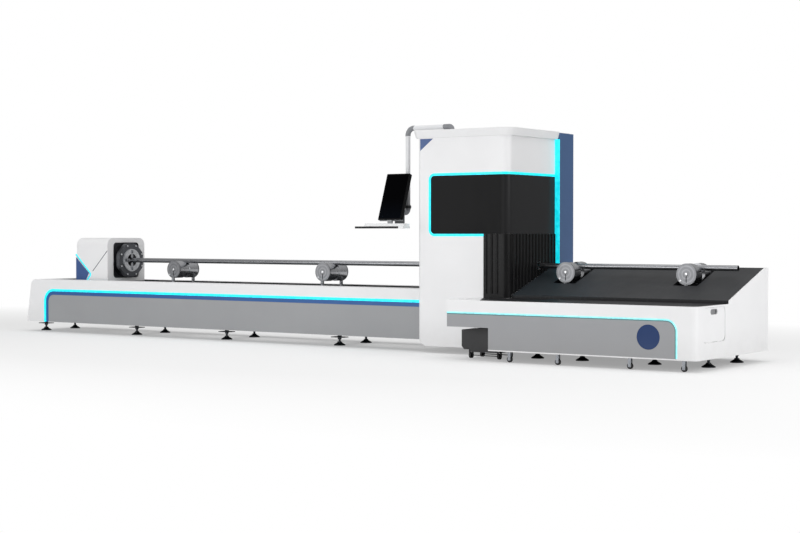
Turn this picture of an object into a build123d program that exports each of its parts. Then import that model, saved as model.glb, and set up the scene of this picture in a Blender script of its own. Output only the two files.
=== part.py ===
# A tube cutting machine with a fibre laser: a long feed bed with a driven chuck carriage, a tall
# cutting cabinet and an outfeed bed with a sloped unloading deck. Sizes are in millimetres.
# The frame stands on the floor at z = 0, x runs from the feed end to the outfeed end, and y runs
# from the operator's side to the back.
import os
from math import acos, cos, hypot, radians, sin, tan

from build123d import *

os.makedirs("parts", exist_ok=True)

# Workpiece and the line that it runs on
tube_y = 285.0
tube_z = 845.0
tube_diameter = 52.0
tube_wall = 3.0
tube_left_x = -3760.0
tube_right_x = 4320.0

# Sheet metal and general clearances
sheet = 4.0
cabinet_sheet = 6.0
panel_gap = 1.0
contact_gap = 0.3
running_fit = 0.05

# Feed bed
bed_left_x = -4450.0
bed_front_y = -215.0
bed_rear_y = 659.0
bed_top_z = 615.0
bed_bottom_z = 118.0
bed_end_lean = 79.0
bed_end_radius = 75.0
bed_ledge = 175.0
bed_end_cap = 180.0
bed_panel_left = 295.0
bed_panel_top_z = 505.0
bed_panel_radius = 150.0
light_width = 27.0
light_depth = 12.0
bed_foot_x = (-4350.0, -2840.0, -1475.0, 75.0)
bed_foot_y = (-5.0, 455.0)

# Rails and frame of the feed bed
rail_spread = 500.0
rail_width = 30.0
rail_height = 25.0
beam_width = 120.0
beam_bottom_z = 150.0
beam_top_z = 540.0
cross_member = 120.0
cross_member_height = 80.0
rear_beam_height = 66.0

# Carriage and rear chuck
carriage_left_x = -3830.0
carriage_right_x = -3300.0
carriage_width = 600.0
carriage_top_z = 1104.0
carriage_radius = 85.0
saddle_thickness = 20.0
saddle_overhang = 50.0
headstock_sheet = 5.0
headstock_opening = 412.0
opening_radius = 45.0
block_length = 90.0
block_width = 66.0
chuck_radius = 200.0
chuck_thickness = 50.0
chuck_proud = 35.0
chuck_flat = 191.0
ring_radius = 130.0
ring_thickness = 12.0
chuck_bore = 74.0
chuck_sleeve = 150.0
chuck_bolts = 8
chuck_bolt_circle = 178.0
jaw_count = 4
jaw_width = 36.0
jaw_length = 58.0
jaw_depth = 26.0

# Cabinet
cabinet_left_x = 1255.0
cabinet_right_x = 2281.0
cabinet_front_y = -299.0
cabinet_rear_y = 875.0
cabinet_bottom_z = 65.0
cabinet_top_z = 2077.0
cabinet_corner = 80.0
cabinet_bevel = 30.0
cabinet_foot_cut_x = 84.0
cabinet_foot_cut_z = 62.0
roof_height = 73.0
roof_overhang = 27.0
roof_flare = 22.0
window_left = 155.0
window_bottom_z = 1153.0
window_top_z = 1711.0
window_radius = 40.0
window_trim = 25.0
glass_thickness = 8.0
guard_left = 756.0
guard_bottom_z = 549.0
flute_pitch = 60.0
flute_width = 26.0
flute_height = 12.0
guard_port = 100.0
fin_front_y = 595.0
fin_proud = 50.0
fin_rise = 63.0
fin_light_depth = 8.0
infeed_port_width = 640.0
infeed_port_bottom_z = 618.0
infeed_port_top_z = 1125.0

# Front chuck and cutting head inside the cabinet
front_chuck_x = 1480.0
front_chuck_depth = 260.0
front_chuck_size = 520.0
head_x = 2040.0
head_rest_gap = 40.0
cross_beam_z = 1480.0
cross_beam_height = 200.0

# Outfeed bed
outfeed_left_x = 1974.0
outfeed_right_x = 4450.0
outfeed_front_y = -875.0
outfeed_rear_y = 659.0
outfeed_bottom_z = 97.0
outfeed_corner = 55.0
deck_z = 549.0
slope_foot_y = -223.0
slope_foot_z = 578.0
slope_head_y = 561.0
slope_head_z = 844.0
skirt_notch = 448.0
skirt_notch_z = 304.0
skirt_panel_top_z = 435.0
skirt_panel_right = 183.0
skirt_panel_radius = 100.0
skirt_lip = 11.0
black_deck_left_x = 2329.0
pocket_half_x = 118.0
pocket_half_y = 188.0
outfeed_foot_x = (2590.0, 3058.0, 3779.0, 4288.0)
outfeed_foot_y = (-276.0, 337.0)
outfeed_tube = 60.0
outfeed_frame_z = 110.0

# End door
door_front_y = -751.0
door_rear_y = -298.0
door_bottom_z = 240.0
door_top_z = 533.0
door_gap = 2.0
door_radius = 40.0
door_foot_radius = 50.0
door_lip = 12.0
hinge_y = (-641.0, -408.0)
hinge_knuckle = 3.5
hinge_pin = 1.5
knuckle_half = 25.0
knuckle_side = 20.0
grip_depth = 14.0
handle_y = -527.0
handle_z = 495.0

# Drum supports
drum_x = (-2390.0, -250.0, 2658.0, 3892.0)
drum_radius = 97.0
drum_length = 290.0
groove_half_angle = 38.0
groove_least_radius = 12.0
groove_shoulder = 5.0
groove_rest_margin = 2.0
axle_diameter = 30.0
end_plate = 14.0
end_plate_gap = 1.0
post_diameter = 36.0
post_fit = 0.1
guide_z = (250.0, 250.0, 310.0, 310.0)
guide_height = 56.0
guide_wall = 7.0
guide_clearance = 4.0
crossbar_height = 25.0
plate_slots = ((74, 100, 70), (58, 20, 60), (44, 110, 60))
lift_travel = 250.0

# Levelling feet and casters
foot_base_diameter = 120.0
foot_base_height = 40.0
foot_stem_diameter = 24.0
foot_plate_length = 155.0
foot_plate_width = 100.0
foot_plate_z = 82.0
wheel_diameter = 55.0
wheel_width = 22.0
wheel_lift = 2.0
caster_x = (2629.0, 3121.0, 3822.0, 4322.0)
caster_y = -838.0
caster_axle = 8.0

# Scrap bin
bin_left_x = 2011.0
bin_right_x = 2411.0
bin_front_y = -675.0
bin_rear_y = -335.0
bin_top_z = 285.0
bin_wheel_x = (2069.0, 2375.0)
bin_axle_y = (-600.0, -405.0)

# Operator's arm and screen
arm_x = 1540.0
arm_y = -125.0
arm_rise = 45.0
arm_drop_x = 1021.0
arm_low_z = 1440.0
pipe_diameter = 46.0
roof_boss = 14.0
pipe_bend = 70.0
screen_width = 277.0
screen_height = 485.0
screen_thickness = 34.0
screen_x = 971.0
screen_foot_y = -375.0
screen_foot_z = 1288.0
screen_lean = 19.4
shelf_z = 1205.0
shelf_left_x = 640.0
shelf_right_x = 1225.0
shelf_depth = 120.0
keyboard_width = 475.0
stub_z = 1362.0
tilt_depth = 60.0
tilt_pin = 16.0

# Sizes that follow from the ones above
tube_radius = tube_diameter / 2
bed_right_x = cabinet_left_x
rail_y = (tube_y - rail_spread / 2, tube_y + rail_spread / 2)
rail_top_z = beam_top_z + rail_height
saddle_bottom_z = bed_top_z - 15.0 - saddle_thickness
saddle_top_z = saddle_bottom_z + saddle_thickness
carriage_front_y = tube_y - carriage_width / 2
carriage_rear_y = tube_y + carriage_width / 2
trough_left_x = bed_left_x + bed_end_lean + bed_end_cap
cover_top_z = bed_top_z - 9.0
slope_rise = (slope_head_z - slope_foot_z) / (slope_head_y - slope_foot_y)
roof_z = cabinet_top_z + roof_height
arm_top_z = roof_z + arm_rise
fin_top_z = cabinet_top_z + fin_rise
guard_left_x = cabinet_left_x + guard_left
window_left_x = cabinet_left_x + window_left
fin_right_x = cabinet_right_x + fin_proud
plate_radius = drum_radius + 1.0
door_face_x = outfeed_right_x - sheet
door_back_x = door_face_x - sheet
hinge_z = door_bottom_z + 1.0
plate_offset = drum_length / 2 + end_plate_gap + end_plate / 2
post_offset = drum_length / 2 + end_plate_gap + post_diameter / 2
groove_most_radius = drum_radius - groove_shoulder
groove_offset = (groove_most_radius - groove_least_radius) / 2
groove_mean = (groove_most_radius + groove_least_radius) / 2
groove_seat = (tube_radius + contact_gap) / sin(radians(groove_half_angle))
groove_low_rest = groove_least_radius + groove_rest_margin
groove_rest = (groove_mean, groove_mean, groove_low_rest, groove_low_rest)
drum_z = tuple(tube_z - groove_seat - rest for rest in groove_rest)


def finish(builder, label):
    """Name a finished sub-part and write its file."""
    builder.part.label = label
    export_step(builder.part, f"parts/{label}.step")


def slab(x0, x1, y0, y1, z0, z1, mode=Mode.ADD):
    """A block between two corners, in the part being built."""
    with Locations(((x0 + x1) / 2, (y0 + y1) / 2, (z0 + z1) / 2)):
        Box(x1 - x0, y1 - y0, z1 - z0, mode=mode)


def side_plane(y):
    """A sketch plane that faces the operator, with its origin on the machine's centre line."""
    return Plane.XZ.offset(-y)


def end_plane(x):
    """A sketch plane that faces the outfeed end; its axes are y and z."""
    return Plane.YZ.offset(x)


# Feed bed: the leaning end profile is shared by the front and the rear casing
def bed_outline(y):
    """The side view of the feed bed, on the upright plane at y."""
    with BuildSketch(side_plane(y)) as outline:
        with BuildLine():
            Polyline(
                (bed_left_x, bed_bottom_z),
                (bed_left_x + bed_end_lean, bed_top_z),
                (bed_right_x, bed_top_z),
                (bed_right_x, bed_bottom_z),
                close=True,
            )
        make_face()
        corner = vertices().group_by(Axis.Y)[-1].sort_by(Axis.X)[0]
        fillet(corner, bed_end_radius)
    return outline.sketch


def bed_panel_outline(y, inset):
    """The inset front panel of the feed bed at y, drawn in by a distance at its left and top."""
    left = bed_left_x + bed_panel_left + inset
    top = bed_panel_top_z - inset
    with BuildSketch(side_plane(y)) as outline:
        with BuildLine():
            Polyline(
                (left, bed_bottom_z),
                (left, top),
                (bed_right_x, top),
                (bed_right_x, bed_bottom_z),
                close=True,
            )
        make_face()
        corner = vertices().group_by(Axis.Y)[-1].sort_by(Axis.X)[0]
        fillet(corner, bed_panel_radius - inset)
    return outline.sketch


with BuildPart() as feed_front_casing:
    extrude(bed_outline(bed_front_y), amount=bed_front_y - bed_rear_y + sheet)
    open_sides = [
        feed_front_casing.faces().sort_by(Axis.Z)[0],
        feed_front_casing.faces().sort_by(Axis.X)[-1],
        feed_front_casing.faces().sort_by(Axis.Y)[-1],
    ]
    offset(amount=-sheet, openings=open_sides, kind=Kind.INTERSECTION)
    ledge_y = bed_front_y + bed_ledge
    slab(trough_left_x, bed_right_x + 1, ledge_y, bed_rear_y, bed_top_z - 30, bed_top_z + 1, Mode.SUBTRACT)
    extrude(bed_panel_outline(bed_front_y - 1, 0), amount=-(sheet + 2), mode=Mode.SUBTRACT)
    front_edges = feed_front_casing.edges().filter_by_position(Axis.Y, bed_front_y - 1, bed_front_y + 0.1)
    end_edges = front_edges.filter_by_position(Axis.X, bed_left_x - 1, bed_left_x + bed_end_lean + 1)
    chamfer(end_edges, sheet * 0.7)
finish(feed_front_casing, "feed_front_casing")

with BuildPart() as feed_light_strip:
    strip_y = bed_front_y - 0.5
    extrude(bed_panel_outline(strip_y, panel_gap / 2), amount=-light_depth)
    extrude(bed_panel_outline(strip_y, light_width), amount=-light_depth, mode=Mode.SUBTRACT)
finish(feed_light_strip, "feed_light_strip")

with BuildPart() as feed_grey_panel:
    panel_front_y = bed_front_y + light_depth - 0.5 - sheet
    extrude(bed_panel_outline(panel_front_y, light_width + contact_gap), amount=-sheet)
finish(feed_grey_panel, "feed_grey_panel")

with BuildPart() as feed_rear_casing:
    extrude(bed_outline(bed_rear_y - sheet), amount=-sheet)
    cut_top = cover_top_z + sheet
    slab(trough_left_x, bed_right_x + 1, bed_rear_y - 2 * sheet, bed_rear_y + 1, cut_top, bed_top_z + 1, Mode.SUBTRACT)
    slab(trough_left_x, bed_right_x, carriage_rear_y + 8, bed_rear_y, cover_top_z, cover_top_z + sheet)
finish(feed_rear_casing, "feed_rear_casing")

# The welded frame under the casings: two box beams, ties and the dark rear rail cover
bed_cross_x = bed_foot_x + (bed_right_x - cross_member,)
with BuildPart() as feed_bed_frame:
    for y in rail_y:
        slab(bed_foot_x[0], bed_right_x - 5, y - beam_width / 2, y + beam_width / 2, beam_bottom_z, beam_top_z)
    for x in bed_cross_x:
        half = cross_member / 2
        top = beam_bottom_z + cross_member_height
        slab(x - half, x + half, bed_front_y + light_depth - 0.5, bed_rear_y - sheet, beam_bottom_z, top)
        slab(x - 20, x + 20, rail_y[1] + beam_width / 2, bed_rear_y - sheet, top, cover_top_z - rear_beam_height)
    cover_front_y = carriage_rear_y + 8
    slab(trough_left_x, bed_right_x - 5, cover_front_y, bed_rear_y - sheet, cover_top_z - rear_beam_height, cover_top_z)
finish(feed_bed_frame, "feed_bed_frame")

with BuildPart() as guide_rails:
    for y in rail_y:
        with BuildSketch(end_plane(trough_left_x + 20)):
            with Locations((y, beam_top_z + rail_height / 2)):
                Rectangle(rail_width, rail_height)
            for side in (-1, 1):
                with Locations((y + side * rail_width / 2, beam_top_z + rail_height * 0.55)):
                    Circle(3.5, mode=Mode.SUBTRACT)
        extrude(amount=bed_right_x - trough_left_x - 40)
    rack_y = rail_y[0] + beam_width / 2 - 12.5
    slab(trough_left_x + 20, bed_right_x - 20, rack_y - 12.5, rack_y + 12.5, beam_top_z, beam_top_z + 22)
finish(guide_rails, "guide_rails")


def levelling_foot(x, y, stem_top):
    """One levelling foot: a coned base, its stem and the plate that the nut clamps."""
    rim = foot_base_diameter / 2
    stem = foot_stem_diameter / 2
    with BuildSketch(side_plane(y)) as profile:
        with BuildLine():
            Polyline(
                (x, 0),
                (x + rim, 0),
                (x + rim, 8),
                (x + rim * 0.42, foot_base_height * 0.75),
                (x + rim * 0.36, foot_base_height),
                (x + stem, foot_base_height),
                (x + stem, stem_top),
                (x, stem_top),
                close=True,
            )
        make_face()
    revolve(profile.sketch, axis=Axis((x, y, 0), (0, 0, 1)))
    half_length = foot_plate_length / 2
    half_width = foot_plate_width / 2
    slab(x - half_length, x + half_length, y - half_width, y + half_width, foot_plate_z, foot_plate_z + 8)
    with Locations((x, y, foot_plate_z - 9)):
        Cylinder(stem + 8, 18)


with BuildPart() as feed_levelling_feet:
    for foot_x in bed_foot_x:
        for foot_y in bed_foot_y:
            levelling_foot(foot_x, foot_y, beam_bottom_z)
finish(feed_levelling_feet, "feed_levelling_feet")

# Carriage: saddle with bearing blocks, headstock shell, chuck housing
with BuildPart() as carriage_saddle:
    saddle_left_x = carriage_left_x - saddle_overhang
    slab(saddle_left_x, carriage_right_x, carriage_front_y, carriage_rear_y, saddle_bottom_z, saddle_top_z)
    for x in (saddle_left_x + block_length, carriage_right_x - block_length):
        for y in rail_y:
            half_x = block_length / 2
            half_y = block_width / 2
            slab(x - half_x, x + half_x, y - half_y, y + half_y, beam_top_z + 5, saddle_bottom_z)
    for y in rail_y:
        half_y = rail_width / 2 + contact_gap
        slab(saddle_left_x - 1, carriage_right_x + 1, y - half_y, y + half_y, beam_top_z, rail_top_z + contact_gap, Mode.SUBTRACT)
finish(carriage_saddle, "carriage_saddle")

with BuildPart() as carriage_motor:
    motor_x = (carriage_left_x + carriage_right_x) / 2
    motor_y = rail_y[0] + beam_width / 2 + 75
    slab(motor_x - 55, motor_x + 55, motor_y - 55, motor_y + 55, saddle_bottom_z - 90, saddle_bottom_z)
    with Locations((motor_x, motor_y, saddle_bottom_z - 190)):
        Cylinder(45, 200)
    fillet(carriage_motor.edges().filter_by(Axis.Z), 12)
finish(carriage_motor, "carriage_motor")

with BuildPart() as headstock_shell:
    with BuildSketch(end_plane(carriage_left_x)):
        with Locations((tube_y, (saddle_top_z + carriage_top_z) / 2)):
            Rectangle(carriage_width, carriage_top_z - saddle_top_z)
        fillet(vertices().group_by(Axis.Y)[-1], carriage_radius)
    extrude(amount=carriage_right_x - carriage_left_x)
    back_edges = headstock_shell.faces().sort_by(Axis.X)[0].edges().sort_by(Axis.Z)[1:]
    fillet(back_edges.filter_by_position(Axis.Z, saddle_top_z + 20, carriage_top_z + 1), 40)
    offset(amount=-headstock_sheet, openings=headstock_shell.faces().sort_by(Axis.Z)[0])
    with BuildSketch(end_plane(carriage_right_x + 1)):
        with Locations((tube_y, tube_z)):
            RectangleRounded(headstock_opening, headstock_opening, opening_radius)
    extrude(amount=-(headstock_sheet + 2), mode=Mode.SUBTRACT)
finish(headstock_shell, "headstock_shell")

housing_left_x = carriage_left_x + 90.0
housing_right_x = carriage_right_x - 24.0
with BuildPart() as rear_chuck_housing:
    with BuildSketch(end_plane(housing_left_x)):
        with Locations((tube_y, tube_z)):
            RectangleRounded(headstock_opening - 12, headstock_opening - 12, opening_radius - 6)
            Circle(chuck_sleeve + 1, mode=Mode.SUBTRACT)
    extrude(amount=housing_right_x - housing_left_x)
    for y in (tube_y - 150, tube_y + 150):
        slab(housing_left_x, housing_right_x, y - 25, y + 25, saddle_top_z, tube_z - headstock_opening / 2 + 20)
finish(rear_chuck_housing, "rear_chuck_housing")

chuck_face_x = carriage_right_x + chuck_proud + chuck_thickness
jaw_slot = jaw_width + 2 * contact_gap


def chuck_body(face_x, sleeve_left_x, bore):
    """A turned chuck: an eight-sided face plate on a sleeve, with the slotted guide ring in front."""
    back_x = face_x - chuck_thickness
    with BuildSketch(end_plane(back_x)) as plate:
        with Locations((tube_y, tube_z)):
            Circle(chuck_radius)
            RegularPolygon(chuck_flat, 8, major_radius=False, rotation=22.5, mode=Mode.INTERSECT)
            Circle(bore, mode=Mode.SUBTRACT)
    extrude(plate.sketch, amount=chuck_thickness)
    with BuildSketch(end_plane(sleeve_left_x)) as sleeve:
        with Locations((tube_y, tube_z)):
            Circle(chuck_sleeve)
            Circle(bore, mode=Mode.SUBTRACT)
    extrude(sleeve.sketch, amount=back_x - sleeve_left_x)
    with BuildSketch(end_plane(face_x)) as ring:
        with Locations((tube_y, tube_z)):
            Circle(ring_radius)
            Circle(bore, mode=Mode.SUBTRACT)
    extrude(ring.sketch, amount=ring_thickness)
    with BuildSketch(end_plane(face_x)) as bolts:
        with Locations((tube_y, tube_z)):
            with PolarLocations(chuck_bolt_circle, chuck_bolts, start_angle=22.5):
                Circle(9)
    extrude(bolts.sketch, amount=6)


def cut_jaw_slots(face_x, count):
    """The radial slots that the jaws slide in."""
    slot_length = ring_radius - 20.0
    with BuildSketch(end_plane(face_x + ring_thickness)) as slots:
        with Locations((tube_y, tube_z)):
            with PolarLocations(slot_length / 2 + 8, count):
                Rectangle(slot_length, jaw_slot)
    extrude(slots.sketch, amount=-(jaw_depth + contact_gap), mode=Mode.SUBTRACT)


def jaw_block(face_x, angle):
    """One jaw: a sliding block with a narrow nose that grips the tube."""
    nose = tube_radius + contact_gap
    with BuildSketch(end_plane(face_x + ring_thickness)) as block:
        with Locations(Location((tube_y, tube_z), angle)):
            with Locations((nose + jaw_length / 2, 0)):
                Rectangle(jaw_length, jaw_width)
        nose_corners = vertices().sort_by(lambda v: hypot(v.X - tube_y, v.Y - tube_z))[:2]
        chamfer(nose_corners, 11)
    extrude(block.sketch, amount=-jaw_depth)


with BuildPart() as rear_chuck_disc:
    chuck_body(chuck_face_x, housing_left_x - 20, chuck_bore)
    cut_jaw_slots(chuck_face_x, jaw_count)
finish(rear_chuck_disc, "rear_chuck_disc")

for index in range(jaw_count):
    with BuildPart() as rear_jaw:
        jaw_block(chuck_face_x, 360.0 / jaw_count * index)
    finish(rear_jaw, f"rear_jaw_{index + 1}")

with BuildPart() as tube:
    with BuildSketch(end_plane(tube_left_x)):
        with Locations((tube_y, tube_z)):
            Circle(tube_radius)
            Circle(tube_radius - tube_wall, mode=Mode.SUBTRACT)
    extrude(amount=tube_right_x - tube_left_x)
finish(tube, "tube")


# Cabinet: the plan outline is drawn in by a distance for each layer of the wall
def cabinet_plan(z, inset):
    """The cabinet's plan at a height, drawn in, with its round and its bevelled corner."""
    x0 = cabinet_left_x + inset
    x1 = cabinet_right_x - inset
    y0 = cabinet_front_y + inset
    y1 = cabinet_rear_y - inset
    with BuildSketch(Plane.XY.offset(z)) as plan:
        with BuildLine():
            Polyline((x0, y0), (x1, y0), (x1, y1), (x0, y1), close=True)
        make_face()
        fillet(vertices().group_by(Axis.Y)[0].sort_by(Axis.X)[-1], cabinet_corner - inset)
        chamfer(vertices().group_by(Axis.Y)[0].sort_by(Axis.X)[0], cabinet_bevel - 0.6 * inset)
    return plan.sketch


def wall_ring(z0, z1, outer, inner):
    """The cabinet's wall between two insets and two heights, as the part's first form."""
    extrude(cabinet_plan(z0, outer), amount=z1 - z0)
    extrude(cabinet_plan(z0, inner), amount=z1 - z0, mode=Mode.SUBTRACT)


def window_cut(grow, depth_front, depth_side):
    """A window shape through the front wall and on round the corner to the fin."""
    low = window_bottom_z - grow
    high = window_top_z + grow
    left = window_left_x - grow
    right = cabinet_right_x + 5
    with BuildSketch(side_plane(cabinet_front_y - 5)) as shape:
        with BuildLine():
            Polyline((left, low), (left, high), (right, high), (right, low), close=True)
        make_face()
        fillet(vertices().group_by(Axis.X)[0], window_radius + grow)
    extrude(shape.sketch, amount=-(depth_front + 5), mode=Mode.SUBTRACT)
    slab(cabinet_right_x - depth_side, cabinet_right_x + 5, cabinet_front_y, fin_front_y, low, high, Mode.SUBTRACT)


with BuildPart() as cabinet_casing:
    wall_ring(cabinet_bottom_z, cabinet_top_z, 0, cabinet_sheet)
    inner_x = cabinet_left_x + cabinet_sheet
    slab(inner_x, cabinet_right_x - cabinet_sheet, cabinet_rear_y - 20, cabinet_rear_y + 1, cabinet_bottom_z, cabinet_top_z, Mode.SUBTRACT)
    window_cut(window_trim, cabinet_corner, cabinet_corner)
    slab(guard_left_x, cabinet_right_x + 5, cabinet_front_y - 5, fin_front_y, guard_bottom_z, window_bottom_z, Mode.SUBTRACT)
    with BuildSketch(end_plane(cabinet_left_x - 1)):
        with Locations((tube_y, (infeed_port_bottom_z + infeed_port_top_z) / 2)):
            RectangleRounded(infeed_port_width, infeed_port_top_z - infeed_port_bottom_z, 30)
    extrude(amount=cabinet_sheet + 2, mode=Mode.SUBTRACT)
    with BuildSketch(side_plane(cabinet_front_y - 1)):
        with BuildLine():
            Polyline(
                (cabinet_left_x - 1, cabinet_bottom_z - 1),
                (cabinet_left_x + cabinet_foot_cut_x, cabinet_bottom_z - 1),
                (cabinet_left_x - 1, cabinet_bottom_z + cabinet_foot_cut_z),
                close=True,
            )
        make_face()
    extrude(amount=-(cabinet_rear_y - cabinet_front_y + 2), mode=Mode.SUBTRACT)
finish(cabinet_casing, "cabinet_casing")

with BuildPart() as cabinet_rear_panel:
    left = cabinet_left_x + cabinet_sheet + panel_gap / 2
    right = cabinet_right_x - cabinet_sheet - panel_gap / 2
    slab(left, right, cabinet_rear_y - 5, cabinet_rear_y, cabinet_bottom_z + 60, cabinet_top_z)
    vent_x = (left + right) / 2
    with BuildSketch(side_plane(cabinet_rear_y - 6)):
        with Locations((vent_x, 420)):
            with GridLocations(150, 26, 2, 7):
                SlotOverall(120, 10)
    extrude(amount=-8, mode=Mode.SUBTRACT)
finish(cabinet_rear_panel, "cabinet_rear_panel")

with BuildPart() as cabinet_roof:
    low = roof_overhang
    high = roof_overhang + roof_flare
    loft([cabinet_plan(cabinet_top_z, -low), cabinet_plan(roof_z, -high)])
    slab(cabinet_right_x, cabinet_right_x + 100, fin_front_y, cabinet_rear_y + 100, cabinet_top_z - 1, roof_z + 1, Mode.SUBTRACT)
    slab(cabinet_left_x - 100, cabinet_right_x + 100, cabinet_rear_y, cabinet_rear_y + 100, cabinet_top_z - 1, roof_z + 1, Mode.SUBTRACT)
    with Locations((arm_x, arm_y, roof_z + roof_boss / 2)):
        Cylinder(38, roof_boss)
finish(cabinet_roof, "cabinet_roof")

with BuildPart() as window_glass:
    wall_ring(window_bottom_z - 1, window_top_z + 1, 2, 2 + glass_thickness)
    slab(cabinet_left_x - 5, window_left_x, cabinet_front_y - 5, cabinet_rear_y + 5, 0, roof_z, Mode.SUBTRACT)
    slab(cabinet_left_x - 5, cabinet_right_x + 5, fin_front_y - 0.5, cabinet_rear_y + 5, 0, roof_z, Mode.SUBTRACT)
    for z in (window_bottom_z - 1, window_top_z + 1):
        edge = window_glass.edges().filter_by(Axis.Y).filter_by_position(Axis.Z, z - 0.1, z + 0.1)
        fillet(edge.sort_by(Axis.X)[0], window_radius)
finish(window_glass, "window_glass")

with BuildPart() as cabinet_light_strip:
    wall_ring(window_bottom_z - window_trim, window_top_z + window_trim, 0, 10)
    slab(cabinet_left_x - 5, window_left_x - window_trim, cabinet_front_y - 5, cabinet_rear_y + 5, 0, roof_z, Mode.SUBTRACT)
    slab(cabinet_left_x - 5, cabinet_right_x + 5, fin_front_y, cabinet_rear_y + 5, 0, roof_z, Mode.SUBTRACT)
    slab(guard_left_x, cabinet_right_x + 5, cabinet_front_y - 5, fin_front_y + 5, 0, window_bottom_z + 50, Mode.SUBTRACT)
    for z in (window_bottom_z - window_trim, window_top_z + window_trim):
        edge = cabinet_light_strip.edges().filter_by(Axis.Y).filter_by_position(Axis.Z, z - 0.1, z + 0.1)
        fillet(edge.sort_by(Axis.X)[0], window_radius + window_trim)
    window_cut(1 + contact_gap, cabinet_corner, cabinet_corner)
    slab(cabinet_right_x, fin_right_x, fin_front_y - fin_light_depth, fin_front_y, slope_head_z + 2, cabinet_top_z)
finish(cabinet_light_strip, "cabinet_light_strip")

# The fluted guard under the window: a formed black sheet with upright ribs, cut to the slope
with BuildPart() as fluted_guard:
    wall_ring(guard_bottom_z, window_bottom_z - 1 - contact_gap, 1, 1 + sheet)
    with BuildSketch(Plane.XY.offset(guard_bottom_z + 39)) as ribs:
        first = guard_left_x + flute_pitch / 2
        front_count = int((cabinet_right_x - cabinet_corner - first) / flute_pitch) + 1
        for step in range(front_count):
            with Locations((first + step * flute_pitch, cabinet_front_y + 2)):
                Circle(flute_height)
        first = cabinet_front_y + cabinet_corner + flute_pitch / 2
        side_count = int((fin_front_y - first) / flute_pitch) + 1
        for step in range(side_count):
            with Locations((cabinet_right_x - 2, first + step * flute_pitch)):
                Circle(flute_height)
    extrude(amount=window_bottom_z - 1 - contact_gap - guard_bottom_z - 39)
    back = cabinet_rear_y + 5
    slab(cabinet_left_x - 5, guard_left_x + contact_gap, cabinet_front_y - 20, back, 0, roof_z, Mode.SUBTRACT)
    fin_side_y = fin_front_y - fin_light_depth - contact_gap
    slab(cabinet_left_x - 5, cabinet_right_x + 20, fin_front_y - 1, back, 0, roof_z, Mode.SUBTRACT)
    slab(cabinet_right_x, cabinet_right_x + 20, fin_side_y, back, 0, roof_z, Mode.SUBTRACT)
    inside_y = cabinet_front_y + 1 + sheet
    inside_x = cabinet_right_x - 1 - sheet
    slab(guard_left_x - 5, inside_x - cabinet_corner, inside_y, inside_y + 40, 0, roof_z, Mode.SUBTRACT)
    slab(inside_x - 40, inside_x, inside_y + cabinet_corner, back, 0, roof_z, Mode.SUBTRACT)
    with BuildSketch(end_plane(cabinet_right_x - cabinet_corner / 2)):
        with BuildLine():
            Polyline(
                (slope_foot_y - 2, guard_bottom_z - 1),
                (slope_foot_y - 2, slope_foot_z + 2),
                (slope_head_y, slope_head_z + 2),
                (fin_front_y + 20, slope_head_z + 2),
                (fin_front_y + 20, guard_bottom_z - 1),
                close=True,
            )
        make_face()
    extrude(amount=cabinet_corner, mode=Mode.SUBTRACT)
    with BuildSketch(end_plane(cabinet_right_x - 20)):
        with Locations((tube_y, tube_z)):
            Circle(guard_port / 2)
    extrude(amount=40, mode=Mode.SUBTRACT)
finish(fluted_guard, "fluted_guard")

with BuildPart() as fin_post:
    slab(cabinet_right_x, fin_right_x, fin_front_y, cabinet_rear_y, slope_head_z + 2, fin_top_z)
    fillet(fin_post.edges().filter_by(Axis.Z).sort_by(Axis.Y)[-2:], 8)
finish(fin_post, "fin_post")

# The frame inside the cabinet, with the beam that carries the cutting head
post = 80.0
with BuildPart() as cabinet_frame:
    xs = (cabinet_left_x + cabinet_sheet + 30, cabinet_right_x - cabinet_corner - post)
    ys = (cabinet_front_y + cabinet_corner, cabinet_rear_y - 6 - post)
    for x in xs:
        for y in ys:
            slab(x, x + post, y, y + post, 60, cabinet_top_z)
        slab(x, x + post, ys[0], ys[1] + post, cabinet_top_z - post, cabinet_top_z)
        slab(x, x + post, ys[0], ys[1] + post, cabinet_bottom_z + 65, cabinet_bottom_z + 65 + post)
    for y in ys:
        slab(xs[0], xs[1] + post, y, y + post, cabinet_top_z - post, cabinet_top_z)
    slab(xs[0], xs[1] + post, ys[1], ys[1] + post, cabinet_bottom_z + 65, cabinet_bottom_z + 65 + post)
    for y in ys:
        slab(xs[0], xs[1] + post, y, y + post, cross_beam_z, cross_beam_z + post)
    beam_x = head_x - 160
    slab(beam_x - 60, beam_x + 60, ys[0], ys[1] + post, cross_beam_z, cross_beam_z + cross_beam_height)
    for z in (cross_beam_z + 40, cross_beam_z + cross_beam_height - 60):
        slab(beam_x + 60, beam_x + 75, ys[0] + post, ys[1], z, z + 20)
finish(cabinet_frame, "cabinet_frame")

front_face_x = front_chuck_x + front_chuck_depth + 2 + chuck_thickness
with BuildPart() as front_chuck_housing:
    with BuildSketch(end_plane(front_chuck_x)):
        with Locations((tube_y, tube_z)):
            RectangleRounded(front_chuck_size, front_chuck_size, 60)
            Circle(chuck_sleeve + 1, mode=Mode.SUBTRACT)
    extrude(amount=front_chuck_depth)
    base_top = tube_z - front_chuck_size / 2
    slab(front_chuck_x + 20, front_chuck_x + front_chuck_depth - 20, tube_y - 220, tube_y + 220, 60, base_top + 5)
    slab(front_chuck_x - 20, front_chuck_x + front_chuck_depth + 20, tube_y - 260, tube_y + 260, 60, 90)
finish(front_chuck_housing, "front_chuck_housing")

with BuildPart() as front_chuck_disc:
    chuck_body(front_face_x, front_chuck_x - 20, chuck_bore)
    cut_jaw_slots(front_face_x, 2)
finish(front_chuck_disc, "front_chuck_disc")

for index in range(2):
    with BuildPart() as front_jaw:
        jaw_block(front_face_x, 180.0 * index)
    finish(front_jaw, f"front_jaw_{index + 1}")

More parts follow.
